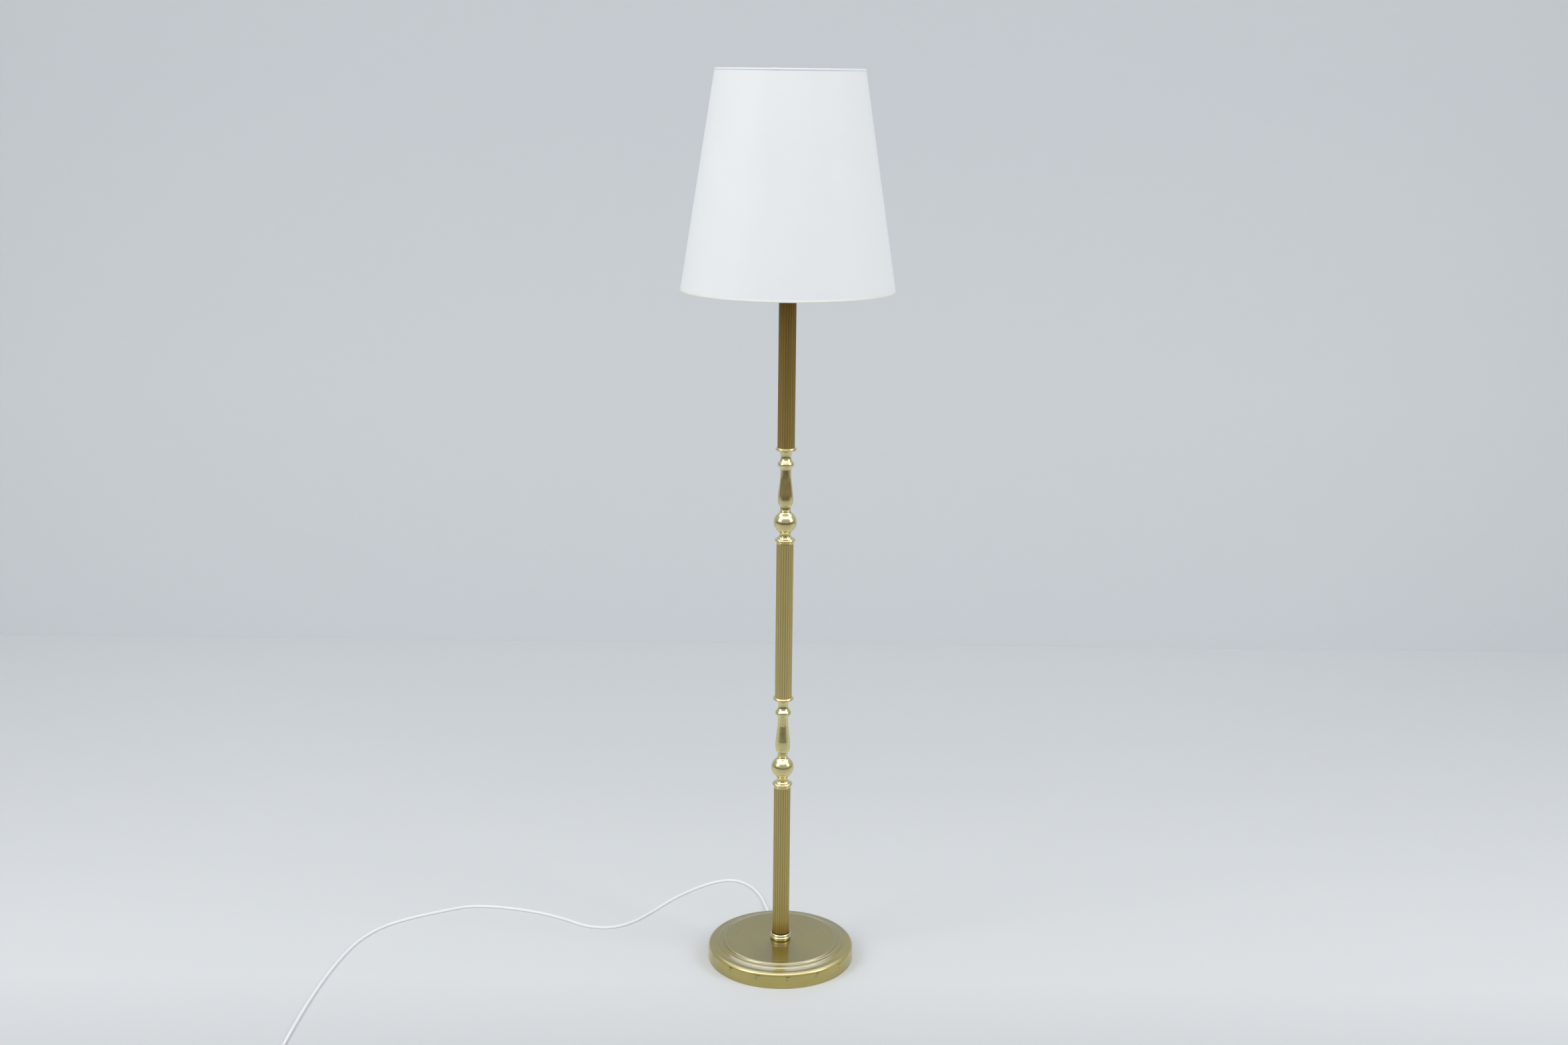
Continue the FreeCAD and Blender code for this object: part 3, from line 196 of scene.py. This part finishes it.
def ramp(add, value, low, high, start=0.3, end=0.7):
    """A grey that goes from low at the start to high at the end, and is held past both."""
    made = add("ShaderNodeValToRGB", {0: value})
    for element, position, level in zip(made.color_ramp.elements, (start, end), (low, high)):
        element.position = position
        element.color = grey(level)
    return made.outputs[0]


def span(add, value, start, end, low=0.0, high=1.0, **settings):
    """A number that goes from low at the start to high at the end, and is held past both."""
    made = add("ShaderNodeMapRange", {0: value, 1: start, 2: end, 3: low, 4: high}, **settings)
    return made.outputs[0]


def combine(add, x, y, z=0.0):
    return add("ShaderNodeCombineXYZ", {0: x, 1: y, 2: z}).outputs[0]


def length(add, vector):
    return add("ShaderNodeVectorMath", {0: vector}, operation="LENGTH").outputs[1]


def noise(add, vector, scale, detail=4, roughness=0.6, stretch=(1, 1, 1)):
    """Noise whose grain can be scaled differently along the three axes."""
    mapped = add("ShaderNodeMapping", {0: vector, 3: stretch}).outputs[0]
    inputs = {"Vector": mapped, "Scale": scale, "Detail": detail, "Roughness": roughness}
    return add("ShaderNodeTexNoise", inputs).outputs[0]


def bump(add, link, height, strength, distance):
    made = add("ShaderNodeBump", {"Strength": strength, "Distance": distance, "Height": height})
    link(made.outputs[0], "Normal")


def place_of(add):
    return add("ShaderNodeTexCoord").outputs["Object"]


def round_the_stem(add):
    """A point's place, its angle, radius and height about the stem, and these three as a vector."""
    place = place_of(add)
    x, y, height = add("ShaderNodeSeparateXYZ", {0: place}).outputs
    angle = maths(add, "ARCTAN2", y, x)
    radius = length(add, combine(add, x, y))
    return place, angle, radius, height, combine(add, angle, radius, height)


# Brass

def cover_brass():
    """Spun brass of the foot: circular brushing, a duller slope and plateau, and dark nicks on the wall."""
    material, add, link = shader("spun_brass", {
        "Metallic": 1, "Anisotropic": 0.3, "Coat Weight": 1.0, "Coat Roughness": 0.14, "Coat IOR": 2.0,
    })
    place, angle, radius, height, lathe = round_the_stem(add)
    brushing = noise(add, lathe, scale=1.0, detail=6, roughness=0.7, stretch=(0.6, 900, 900))
    cloud = noise(add, place, scale=14, detail=5)
    fine = noise(add, place, scale=160, detail=3, roughness=0.7)

    wall = mix(add, cloud, srgb(174, 156, 58), srgb(190, 174, 74))
    slope = mix(add, cloud, srgb(139, 124, 45), srgb(153, 139, 61))
    plateau = mix(add, cloud, srgb(135, 121, 30), srgb(147, 134, 46))
    top = mix(add, span(add, radius, *PLATEAU_BAND), slope, plateau)
    plain = mix(add, span(add, radius, *SHOULDER_BAND), wall, top)
    streak = ramp(add, brushing, low=0.82, high=1.0, start=0.35, end=0.65)
    brushed = mix(add, factor=0.55, low=plain, high=streak, blend="MULTIPLY")

    from_cove = maths(add, "ABSOLUTE", maths(add, "SUBTRACT", radius, COVE_RADIUS))
    from_cove = maths(add, "MULTIPLY", from_cove, 1 / COVE_REACH)
    cove = span(
        add, from_cove, start=0.4, end=1.0, low=0.28, high=0.0, interpolation_type="SMOOTHSTEP",
    )
    dulled = mix(add, cove, brushed, srgb(128, 118, 78))

    # Evenly spaced dark nicks under the shoulder, each with a fainter run below it
    turn = maths(add, "MULTIPLY_ADD", angle, NICKS / math.tau, -NICKS * NICK_START / 360)
    aside = maths(add, "SUBTRACT", turn, maths(add, "ROUND", turn))
    ragged = noise(add, place, scale=210, roughness=0.7)
    reach = maths(add, "MULTIPLY_ADD", ragged, NICK_RAGGED, -NICK_INSET)

    def spot(side, foot, width, tall, strength):
        across = maths(add, "MULTIPLY_ADD", aside, NICK_ARC / width, -side / width)
        upward = maths(add, "MULTIPLY_ADD", height, 1 / tall, -foot / tall)
        apart = length(add, combine(add, across, upward))
        mask = maths(add, "MULTIPLY", maths(add, "SUBTRACT", reach, apart), NICK_SHARPNESS)
        return maths(add, "MULTIPLY", add("ShaderNodeClamp", {0: mask}).outputs[0], strength)

    nick = spot(side=0.0, foot=0.0214, width=0.0052, tall=0.0014, strength=0.85)
    run = spot(side=-0.002, foot=0.0160, width=0.0026, tall=0.0040, strength=0.3)
    marks = maths(add, "MAXIMUM", nick, run)

    link(mix(add, marks, dulled, srgb(78, 60, 32)), "Base Color")
    rough = ramp(add, cloud, low=0.38, high=0.46)
    link(maths(add, "ADD", rough, maths(add, "MULTIPLY", marks, 0.25)), "Roughness")
    grain = maths(add, "ADD", brushing, maths(add, "MULTIPLY", fine, 0.3))
    bump(add, link, grain, strength=0.12, distance=0.0006)
    return material


def tube_brass(name, low, high, heights, brown_foot=0.0):
    """Drawn brass of a fluted tube: long streaks, dark flutes, a colour graded along its height, and a
    browner band at its foot.
    """
    material, add, link = shader(name, {"Metallic": 1})
    place, _, radius, height, lathe = round_the_stem(add)
    streaks = noise(add, lathe, scale=1.0, detail=5, roughness=0.65, stretch=(14, 10, 5))
    speck = noise(add, place, scale=240, roughness=0.7, stretch=(1, 1, 0.35))
    # Graded by height from the low colour to the high one; on the upper tube this is painted shade
    plain = mix(add, span(add, height, *heights), low, high)
    bottom = heights[0]
    foot = span(add, height, bottom + BROWN_FOOT_HEIGHTS[0], bottom + BROWN_FOOT_HEIGHTS[1], low=brown_foot, high=0.0)
    plain = mix(add, foot, plain, srgb(168, 128, 46))
    streak = ramp(add, streaks, low=0.78, high=1.0)
    tinted = mix(add, factor=0.8, low=plain, high=streak, blend="MULTIPLY")
    in_flute = span(add, radius, *FLUTE_DEPTH, low=0.4, high=0.0)
    link(mix(add, in_flute, tinted, srgb(96, 76, 34)), "Base Color")
    link(ramp(add, speck, low=0.46, high=0.56), "Roughness")
    bump(add, link, speck, strength=0.08, distance=0.0004)
    return material


def turned_brass(name, groove=0.0):
    """Polished lathe work under a clear lacquer: turning lines, a little wear, and painted shade in a
    groove.
    """
    material, add, link = shader(name, {
        "Metallic": 1, "Coat Weight": 1.0, "Coat Roughness": 0.06, "Coat IOR": 1.7,
    })
    place, _, radius, height, lathe = round_the_stem(add)
    lines = noise(add, lathe, scale=1.0, detail=5, roughness=0.7, stretch=(0.5, 700, 1400))
    cloud = noise(add, place, scale=60, detail=5, roughness=0.65)
    wear = noise(add, place, scale=190, detail=6, roughness=0.7)
    body = mix(add, cloud, srgb(206, 193, 122), srgb(226, 215, 153))
    tarnish = maths(add, "MULTIPLY", ramp(add, wear, low=0, high=1, start=0.56, end=0.72), 0.5)
    body = mix(add, tarnish, body, srgb(126, 96, 46))
    rough = ramp(add, cloud, low=0.15, high=0.25)
    if groove:
        # Painted shade: the groove round the tube's foot is painted dark
        inside = span(add, radius, *GROOVE_RADII, high=groove)
        groove_shade = maths(add, "MULTIPLY", inside, span(add, height, *GROOVE_HEIGHTS))
        body = mix(add, groove_shade, body, srgb(46, 36, 16))
        rough = maths(add, "MULTIPLY_ADD", groove_shade, 0.5, rough)
    link(body, "Base Color")
    link(rough, "Roughness")
    bump(add, link, lines, strength=0.03, distance=0.0003)
    return material


# Other finishes

def plain_metal(name, dark, light, roughness, grain=260):
    """A small fitting: brushed metal with a fine grain."""
    material, add, link = shader(name, {"Metallic": 1})
    scratch = noise(add, place_of(add), scale=grain, roughness=0.7, stretch=(1, 1, 6))
    link(mix(add, scratch, dark, light), "Base Color")
    link(ramp(add, scratch, low=roughness, high=roughness + 0.12), "Roughness")
    bump(add, link, scratch, strength=0.08, distance=0.0003)
    return material


def moulded(name, dark, light, roughness, grain=420, bumpiness=0.05, coat=0.0):
    """Moulded plastic, glaze or paint: nearly one colour, with a fine skin."""
    material, add, link = shader(name, {"Coat Weight": coat})
    place = place_of(add)
    cloud = noise(add, place, scale=30)
    skin = noise(add, place, scale=grain, detail=3)
    link(mix(add, cloud, dark, light), "Base Color")
    link(ramp(add, skin, low=roughness, high=roughness + 0.08), "Roughness")
    bump(add, link, skin, strength=bumpiness, distance=0.0003)
    return material


def rough_iron():
    """Cast iron with pits and a little rust."""
    material, add, link = shader("cast_iron", {"Metallic": 0.6, "Roughness": 0.75})
    place = place_of(add)
    pits = noise(add, place, scale=180, detail=6, roughness=0.75)
    rust = noise(add, place, scale=26, detail=5)
    rusted = ramp(add, rust, low=0, high=1, start=0.5, end=0.7)
    link(mix(add, rusted, srgb(58, 58, 60), srgb(92, 66, 50)), "Base Color")
    bump(add, link, pits, strength=0.5, distance=0.001)
    return material


def felt():
    """Pressed felt: short fibres in soft tufts."""
    material, add, link = shader("felt", {"Roughness": 0.95, "Sheen Weight": 0.4})
    place = place_of(add)
    fibre = noise(add, place, scale=700, detail=6, roughness=0.8, stretch=(1, 1, 0.3))
    tuft = noise(add, place, scale=90)
    link(mix(add, fibre, srgb(44, 52, 44), srgb(86, 94, 80)), "Base Color")
    bump(add, link, maths(add, "ADD", fibre, tuft), strength=0.5, distance=0.0008)
    return material


def shade_card():
    """Smooth laminated card: fine fibres, a faint cloud and a soft satin face."""
    material, add, link = shader("laminated_card", {"Specular IOR Level": 0.4})
    place = place_of(add)
    cloud = noise(add, place, scale=7, roughness=0.55)
    fibre = noise(add, place, scale=420, detail=5, roughness=0.7, stretch=(1, 1, 0.35))
    link(mix(add, cloud, srgb(236, 240, 242), srgb(244, 247, 248)), "Base Color")
    link(ramp(add, fibre, low=0.46, high=0.58), "Roughness")
    bump(add, link, fibre, strength=0.05, distance=0.0004)
    return material


def binding_tape(name, dark, light):
    """Woven tape of the shade's rims."""
    material, add, link = shader(name, {})
    place = place_of(add)
    cloud = noise(add, place, scale=60, detail=3, roughness=0.5)
    weave = noise(add, place, scale=900, detail=3)
    link(mix(add, cloud, dark, light), "Base Color")
    link(ramp(add, weave, low=0.40, high=0.50), "Roughness")
    bump(add, link, weave, strength=0.08, distance=0.0003)
    return material


def frosted_glass():
    """Frosted glass of the bulb, which lets a little light through."""
    material, add, link = shader("frosted_glass", {"Transmission Weight": 0.25})
    frost = noise(add, place_of(add), scale=500, detail=3)
    link(mix(add, frost, srgb(240, 240, 236), srgb(250, 250, 247)), "Base Color")
    link(ramp(add, frost, low=0.32, high=0.42), "Roughness")
    bump(add, link, frost, strength=0.06, distance=0.0002)
    return material


spun = cover_brass()
turned = turned_brass("turned_brass")
collar = turned_brass("collar_brass", groove=0.95)
lower_drawn = tube_brass(
    "lower_tube_brass", srgb(200, 184, 117), srgb(202, 186, 123), LOWER_TUBE, brown_foot=0.7,
)
middle_drawn = tube_brass("middle_tube_brass", srgb(215, 200, 138), srgb(209, 192, 127), MIDDLE_TUBE)
# The upper tube is painted darker, most of all towards its top: painted shade under the lampshade
upper_drawn_shaded = tube_brass("upper_tube_brass_shaded", srgb(174, 154, 90), srgb(147, 119, 60), UPPER_TUBE)
fitting = plain_metal("fitting_brass", srgb(178, 150, 84), srgb(214, 190, 122), 0.24)
contact_brass = plain_metal("contact_brass", srgb(196, 164, 92), srgb(222, 196, 128), 0.3)
steel = plain_metal("zinc_steel", srgb(158, 160, 164), srgb(196, 198, 200), 0.3)
aluminium = plain_metal("bulb_aluminium", srgb(196, 197, 200), srgb(220, 221, 222), 0.28, grain=500)
pin_metal = plain_metal("pin_nickel", srgb(190, 188, 180), srgb(218, 216, 208), 0.22)
white_plastic = moulded("white_plastic", srgb(226, 227, 226), srgb(238, 239, 238), 0.42)
cord_white = moulded(
    "cord_sheath", srgb(245, 246, 247), srgb(251, 252, 252), 0.5, grain=900, bumpiness=0.06,
)
core_brown = moulded("core_insulation", srgb(104, 66, 40), srgb(124, 82, 52), 0.5)
black_plastic = moulded("black_plastic", srgb(24, 24, 25), srgb(34, 34, 35), 0.3)
porcelain = moulded(
    "porcelain", srgb(232, 230, 222), srgb(242, 240, 234), 0.16, grain=300, bumpiness=0.03, coat=0.4,
)
white_wire = moulded("white_wire", srgb(226, 227, 226), srgb(238, 238, 236), 0.35)
iron = rough_iron()
felt_pad = felt()
card = shade_card()
top_tape = binding_tape("top_binding", srgb(243, 246, 250), srgb(249, 251, 254))
foot_tape = binding_tape("foot_binding", srgb(232, 234, 224), srgb(240, 241, 232))
glass = frosted_glass()

BALUSTERS = [
    f"{prefix}_{piece}"
    for prefix in ("lower", "upper")
    for piece in ("cap", "ball", "neck_ring", "vase", "cup")
]
FINISHES = {
    spun: ["base_cover"],
    iron: ["base_weight"],
    felt_pad: ["foot_pad"],
    collar: ["base_collar"],
    turned: ["stem_cap"] + BALUSTERS,
    lower_drawn: ["lower_tube"],
    middle_drawn: ["middle_tube"],
    upper_drawn_shaded: ["upper_tube"],
    fitting: [
        "holder_cap", "holder_sleeve", "switch_bush", "switch_shaft", "lower_ring_nut", "upper_ring_nut",
    ],
    contact_brass: ["screw_shell", "centre_contact", "terminal_screws"],
    steel: ["base_washer", "base_nut", "clamp_screws", "tie_rod", "stem_nut"],
    aluminium: ["bulb_cap", "bulb_contact"],
    pin_metal: ["plug_pins"],
    white_plastic: ["cord_relief", "relief_ring", "cord_clamp", "plug_body"],
    cord_white: ["inner_lead"],
    core_brown: ["wire_cores"],
    black_plastic: ["switch_box", "switch_knob"],
    porcelain: ["holder_insert"],
    white_wire: ["centre_ring", "shade_arms", "bottom_hoop", "top_hoop"],
    card: ["shade_skin"],
    glass: ["bulb_glass"],
}
for material, names in FINISHES.items():
    for name in names:
        mesh = nodes[name].data
        mesh.materials.clear()
        mesh.materials.append(material)


# Shade: the white binding rolled over each rim, and the lap where the card's two ends meet at the back

def shade_radius(height):
    """Radius of the card's outer face at a height."""
    return SHADE_BOTTOM + (SHADE_TOP - SHADE_BOTTOM) * (height - SHADE_FOOT) / SHADE_HEIGHT


def mesh_piece(name, points, faces, material):
    """A smooth piece that turns with the shade."""
    mesh = bpy.data.meshes.new(name)
    mesh.from_pydata(points, [], faces)
    built = bmesh.new()
    built.from_mesh(mesh)
    bmesh.ops.recalc_face_normals(built, faces=built.faces)
    built.to_mesh(mesh)
    built.free()
    for face in mesh.polygons:
        face.use_smooth = True
    piece = bpy.data.objects.new(name, mesh)
    scene.collection.objects.link(piece)
    mesh.materials.append(material)
    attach(piece, "shade")


def binding(name, edge, inward, material, lap_at):
    """A strip of tape folded over a rim, one end lapped over the other."""
    slant = math.atan2(SHADE_BOTTOM - SHADE_TOP, SHADE_HEIGHT)
    roll = TAPE * TAPE_ROLL_SHARE
    # Points around the tape's section, as the distance out from the card and down from the rim's edge
    outline = [
        (SKIN_GAP, TAPE_DEPTH), (TAPE, TAPE_DEPTH), (TAPE, TAPE_FOLD), (roll, -roll), (0, -TAPE),
        (-SHADE_WALL, -TAPE), (-SHADE_WALL - roll, -roll), (-SHADE_WALL - TAPE, TAPE_FOLD),
        (-SHADE_WALL - TAPE, TAPE_DEPTH), (-SHADE_WALL - SKIN_GAP, TAPE_DEPTH),
        (-SHADE_WALL - SKIN_GAP, SKIN_GAP), (SKIN_GAP, SKIN_GAP),
    ]
    points = []
    for step in range(TAPE_STEPS):
        angle = math.tau * step / TAPE_STEPS
        from_lap = (angle - lap_at + math.pi) % math.tau - math.pi
        lap = min(max((TAPE_LAP - abs(from_lap)) / TAPE_LAP_EDGE, 0), 1)
        for out, down in outline:
            if out > TAPE / 2 or down < 0:
                out += lap * TAPE * TAPE_LAP_OUT_SHARE * (1 if out > -SHADE_WALL / 2 else -1)
            if down < 0:
                down -= lap * TAPE * TAPE_LAP_DOWN_SHARE
            height = edge + inward * down * math.cos(slant) + out * math.sin(slant)
            radius = shade_radius(edge) - inward * down * math.sin(slant) + out
            points.append((radius * math.cos(angle), radius * math.sin(angle), height))
    count = len(outline)
    faces = []
    for step in range(TAPE_STEPS):
        here = step * count
        following = (step + 1) % TAPE_STEPS * count
        for corner in range(count):
            beside = (corner + 1) % count
            faces.append((here + corner, following + corner, following + beside, here + beside))
    mesh_piece(name, points, faces, material)


def card_lap(name, centre, material):
    """The glued lap of the card: a second thickness with rolled edges, from rim to rim."""
    # Points across the lap, as shares of its width and of its thickness
    across = [(-0.5, 0), (-0.49, 0.6), (-0.46, 1), (-0.2, 1), (0.2, 1), (0.46, 1), (0.49, 0.6), (0.5, 0)]
    points = []
    for row in range(LAP_ROWS + 1):
        height = SHADE_FOOT + LAP_INSET + (SHADE_HEIGHT - 2 * LAP_INSET) * row / LAP_ROWS
        radius = shade_radius(height)
        for share, rise in across:
            angle = centre + share * LAP_WIDTH / radius
            reach = radius + LAP_GAP + LAP_THICKNESS * rise
            points.append((reach * math.cos(angle), reach * math.sin(angle), height))
    count = len(across)
    faces = []
    for row in range(LAP_ROWS):
        for corner in range(count - 1):
            start = row * count + corner
            faces.append((start, start + 1, start + count + 1, start + count))
    faces.append(tuple(range(count)))
    faces.append(tuple(LAP_ROWS * count + corner for corner in range(count)))
    mesh_piece(name, points, faces, material)


binding("shade_top_binding", SHADE_FOOT + SHADE_HEIGHT, -1, top_tape, math.radians(-101))
binding("shade_foot_binding", SHADE_FOOT, 1, foot_tape, math.radians(78))
card_lap("shade_lap", math.radians(83), card)


# Cord: one smooth line from the strain relief, across the floor and through its coil to the plug

ROUTE = [
    (-0.0286, 0.1920), (-0.0370, 0.2330), (-0.0560, 0.2790), (-0.0890, 0.3090), (-0.1270, 0.2990),
    (-0.1640, 0.2670), (-0.2050, 0.2200), (-0.2390, 0.1630), (-0.2740, 0.1140), (-0.3130, 0.0920),
    (-0.3570, 0.0990), (-0.4020, 0.1320), (-0.4610, 0.1600), (-0.5240, 0.1760), (-0.5810, 0.1800),
    (-0.6300, 0.1550), (-0.6860, 0.1230), (-0.7290, 0.0850), (-0.7570, 0.0310), (-0.7710, -0.0310),
    (-0.7800, -0.0930), (-0.7860, -0.1560), (-0.7900, -0.2190), (-0.7920, -0.2820), (-0.7930, -0.3340),
    (-0.7930, -0.3830),
]
# Distances past the coil's start of the two points on the way to the plug
TO_PLUG = (0.004, 0.016)


def exit_point(distance):
    """A point on the line on which the cord leaves the foot, at a distance from the stem."""
    return (-distance * math.sin(EXIT_TURN), distance * math.cos(EXIT_TURN), EXIT_HEIGHT)


def coil_points(start_x, start_y):
    """The put-away turns, in on the floor and out again on top of themselves."""
    per_turn = 16
    count = COIL_TURNS * per_turn
    half = count / 2
    # A quadratic spline runs inside its control points by this share
    inside = 0.75 + 0.25 * math.cos(math.tau / per_turn)
    widest = COIL_MIDDLE + TURN_STEP * COIL_TURNS / 4
    centre_x = start_x + widest
    points = []
    for step in range(1, count):
        angle = math.pi + math.tau * step / per_turn
        reach = (widest - TURN_STEP * (half - abs(step - half)) / per_turn) / inside
        climbed = min(max((step - half + per_turn / 4) / (per_turn / 2), 0), 1)
        points.append((
            centre_x + reach * math.cos(angle),
            start_y + reach * math.sin(angle),
            CORD_RADIUS + TURN_STEP * climbed,
        ))
    return points


def make_cord():
    """The whole cord as one round curve through its route and its coil."""
    points = [exit_point(EXIT_DISTANCE), exit_point(EXIT_DISTANCE + EXIT_RUN)]
    points += [(x, y, CORD_RADIUS) for x, y in ROUTE]
    start_x, start_y = points[-1][0], points[-1][1] - 2 * CORD_RADIUS
    points += coil_points(start_x, start_y)
    points += [(start_x, start_y - past, CORD_RADIUS + TURN_STEP) for past in TO_PLUG]
    curve = bpy.data.curves.new("cord_line", "CURVE")
    curve.dimensions = "3D"
    spline = curve.splines.new("NURBS")
    spline.points.add(len(points) - 1)
    for point, place in zip(spline.points, points):
        point.co = (*place, 1)
    spline.order_u = 3
    spline.use_endpoint_u = True
    curve.resolution_u = 10
    curve.bevel_depth = CORD_RADIUS
    curve.bevel_resolution = 6
    curve.use_fill_caps = True
    made = bpy.data.objects.new("white_cord", curve)
    scene.collection.objects.link(made)
    curve.materials.append(cord_white)
    return made


cord = make_cord()
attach(cord, "lamp")
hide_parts("cord", "cord_coil")


# Floor, wall and light

def staged(name, corners, roughness, colour, near_colour, far_colour, axis, start, end):
    """A plain surface, graded along one axis from its colour to the near one as painted light and shade,
    and clear from its far side.

    Seen in the brass it takes its far colour far out in front, as the room behind the viewer does.
    """
    mesh = bpy.data.meshes.new(name)
    mesh.from_pydata(corners, [], [range(len(corners))])
    made = bpy.data.objects.new(name, mesh)
    scene.collection.objects.link(made)
    material, add, link = shader(name, {"Roughness": roughness, "Specular IOR Level": 0.2})
    place = place_of(add)
    parts = add("ShaderNodeSeparateXYZ", {0: place}).outputs
    reach = length(add, place)
    far = span(add, reach, *FAR_BAND)
    in_front = span(add, maths(add, "DIVIDE", parts[1], reach), *FRONT_BAND)
    in_metal = add("ShaderNodeLightPath").outputs["Is Glossy Ray"]
    darker = maths(add, "MULTIPLY", maths(add, "MULTIPLY", far, in_front), in_metal)
    plain = mix(add, span(add, parts[axis], start, end), colour, near_colour)
    link(mix(add, darker, plain, far_colour), "Base Color")
    tree = material.node_tree
    far_side = add("ShaderNodeNewGeometry").outputs["Backfacing"]
    clear = add("ShaderNodeBsdfTransparent").outputs[0]
    solid = tree.nodes["Principled BSDF"].outputs[0]
    one_sided = add("ShaderNodeMixShader", {0: far_side, 1: solid, 2: clear})
    tree.links.new(one_sided.outputs[0], tree.nodes["Material Output"].inputs["Surface"])
    mesh.materials.append(material)


# The floor is painted darker towards the front: painted shade
staged(
    "floor",
    [
        (-STAGE_REACH, -STAGE_REACH, 0), (STAGE_REACH, -STAGE_REACH, 0),
        (STAGE_REACH, STAGE_REACH, 0), (-STAGE_REACH, STAGE_REACH, 0),
    ],
    roughness=0.7, colour=srgb(227, 230, 231), near_colour=srgb(202, 205, 207),
    far_colour=srgb(78, 64, 48), axis=1, start=-0.1, end=-0.6,
)
# The wall is painted lighter towards the bottom: painted light
staged(
    "wall",
    [
        (-STAGE_REACH, WALL_Y, 0), (STAGE_REACH, WALL_Y, 0),
        (STAGE_REACH, WALL_Y, WALL_TOP), (-STAGE_REACH, WALL_Y, WALL_TOP),
    ],
    roughness=0.9, colour=srgb(215, 220, 224), near_colour=srgb(221, 225, 228),
    far_colour=srgb(215, 220, 224), axis=2, start=1.5, end=0.7,
)

# The room: pale, with a darker brown band at the horizon in front and at both sides, and a white ceiling
world = bpy.data.worlds.new("studio")
scene.world = world
world.use_nodes = True
add_to_world = node_adder(world.node_tree)
heading = add_to_world("ShaderNodeTexCoord").outputs["Generated"]
way = add_to_world("ShaderNodeSeparateXYZ", {0: heading}).outputs
rays = add_to_world("ShaderNodeLightPath").outputs
in_front = span(add_to_world, way[1], *ROOM_FRONT)
low = span(add_to_world, way[2], *ROOM_HORIZON)
room = mix(add_to_world, maths(add_to_world, "MULTIPLY", in_front, low), ROOM, ROOM_BAND)
overhead = span(add_to_world, way[2], *ROOM_CEILING)
ceiling = maths(add_to_world, "MULTIPLY", overhead, rays["Is Glossy Ray"])
room = mix(add_to_world, ceiling, room, CEILING)
room = mix(add_to_world, rays["Is Camera Ray"], room, SEEN_BEHIND)
background = world.node_tree.nodes["Background"]
background.inputs["Strength"].default_value = WORLD_STRENGTH
world.node_tree.links.new(room, background.inputs["Color"])


def softbox(name, place, target, size, power):
    """A rectangular lamp at a place, turned to its target."""
    light = bpy.data.lights.new(name, "AREA")
    light.shape = "RECTANGLE"
    light.size, light.size_y = size
    light.energy = power
    made = bpy.data.objects.new(name, light)
    scene.collection.objects.link(made)
    direction = Vector(target) - Vector(place)
    turned_to = direction.to_track_quat("-Z", "Y").to_matrix().to_4x4()
    made.matrix_world = Matrix.Translation(place) @ turned_to


softbox("key_left", (-2.6, -1.6, 2.6), (0, 0, 0.9), size=(1.6, 2.2), power=43)
softbox("fill_right", (2.8, -1.2, 2.4), (0, 0, 0.8), size=(1.4, 2.0), power=34)
softbox("overhead", (0, -1.7, 3.4), (0, 0, 0.4), size=(3.2, 0.45), power=14)
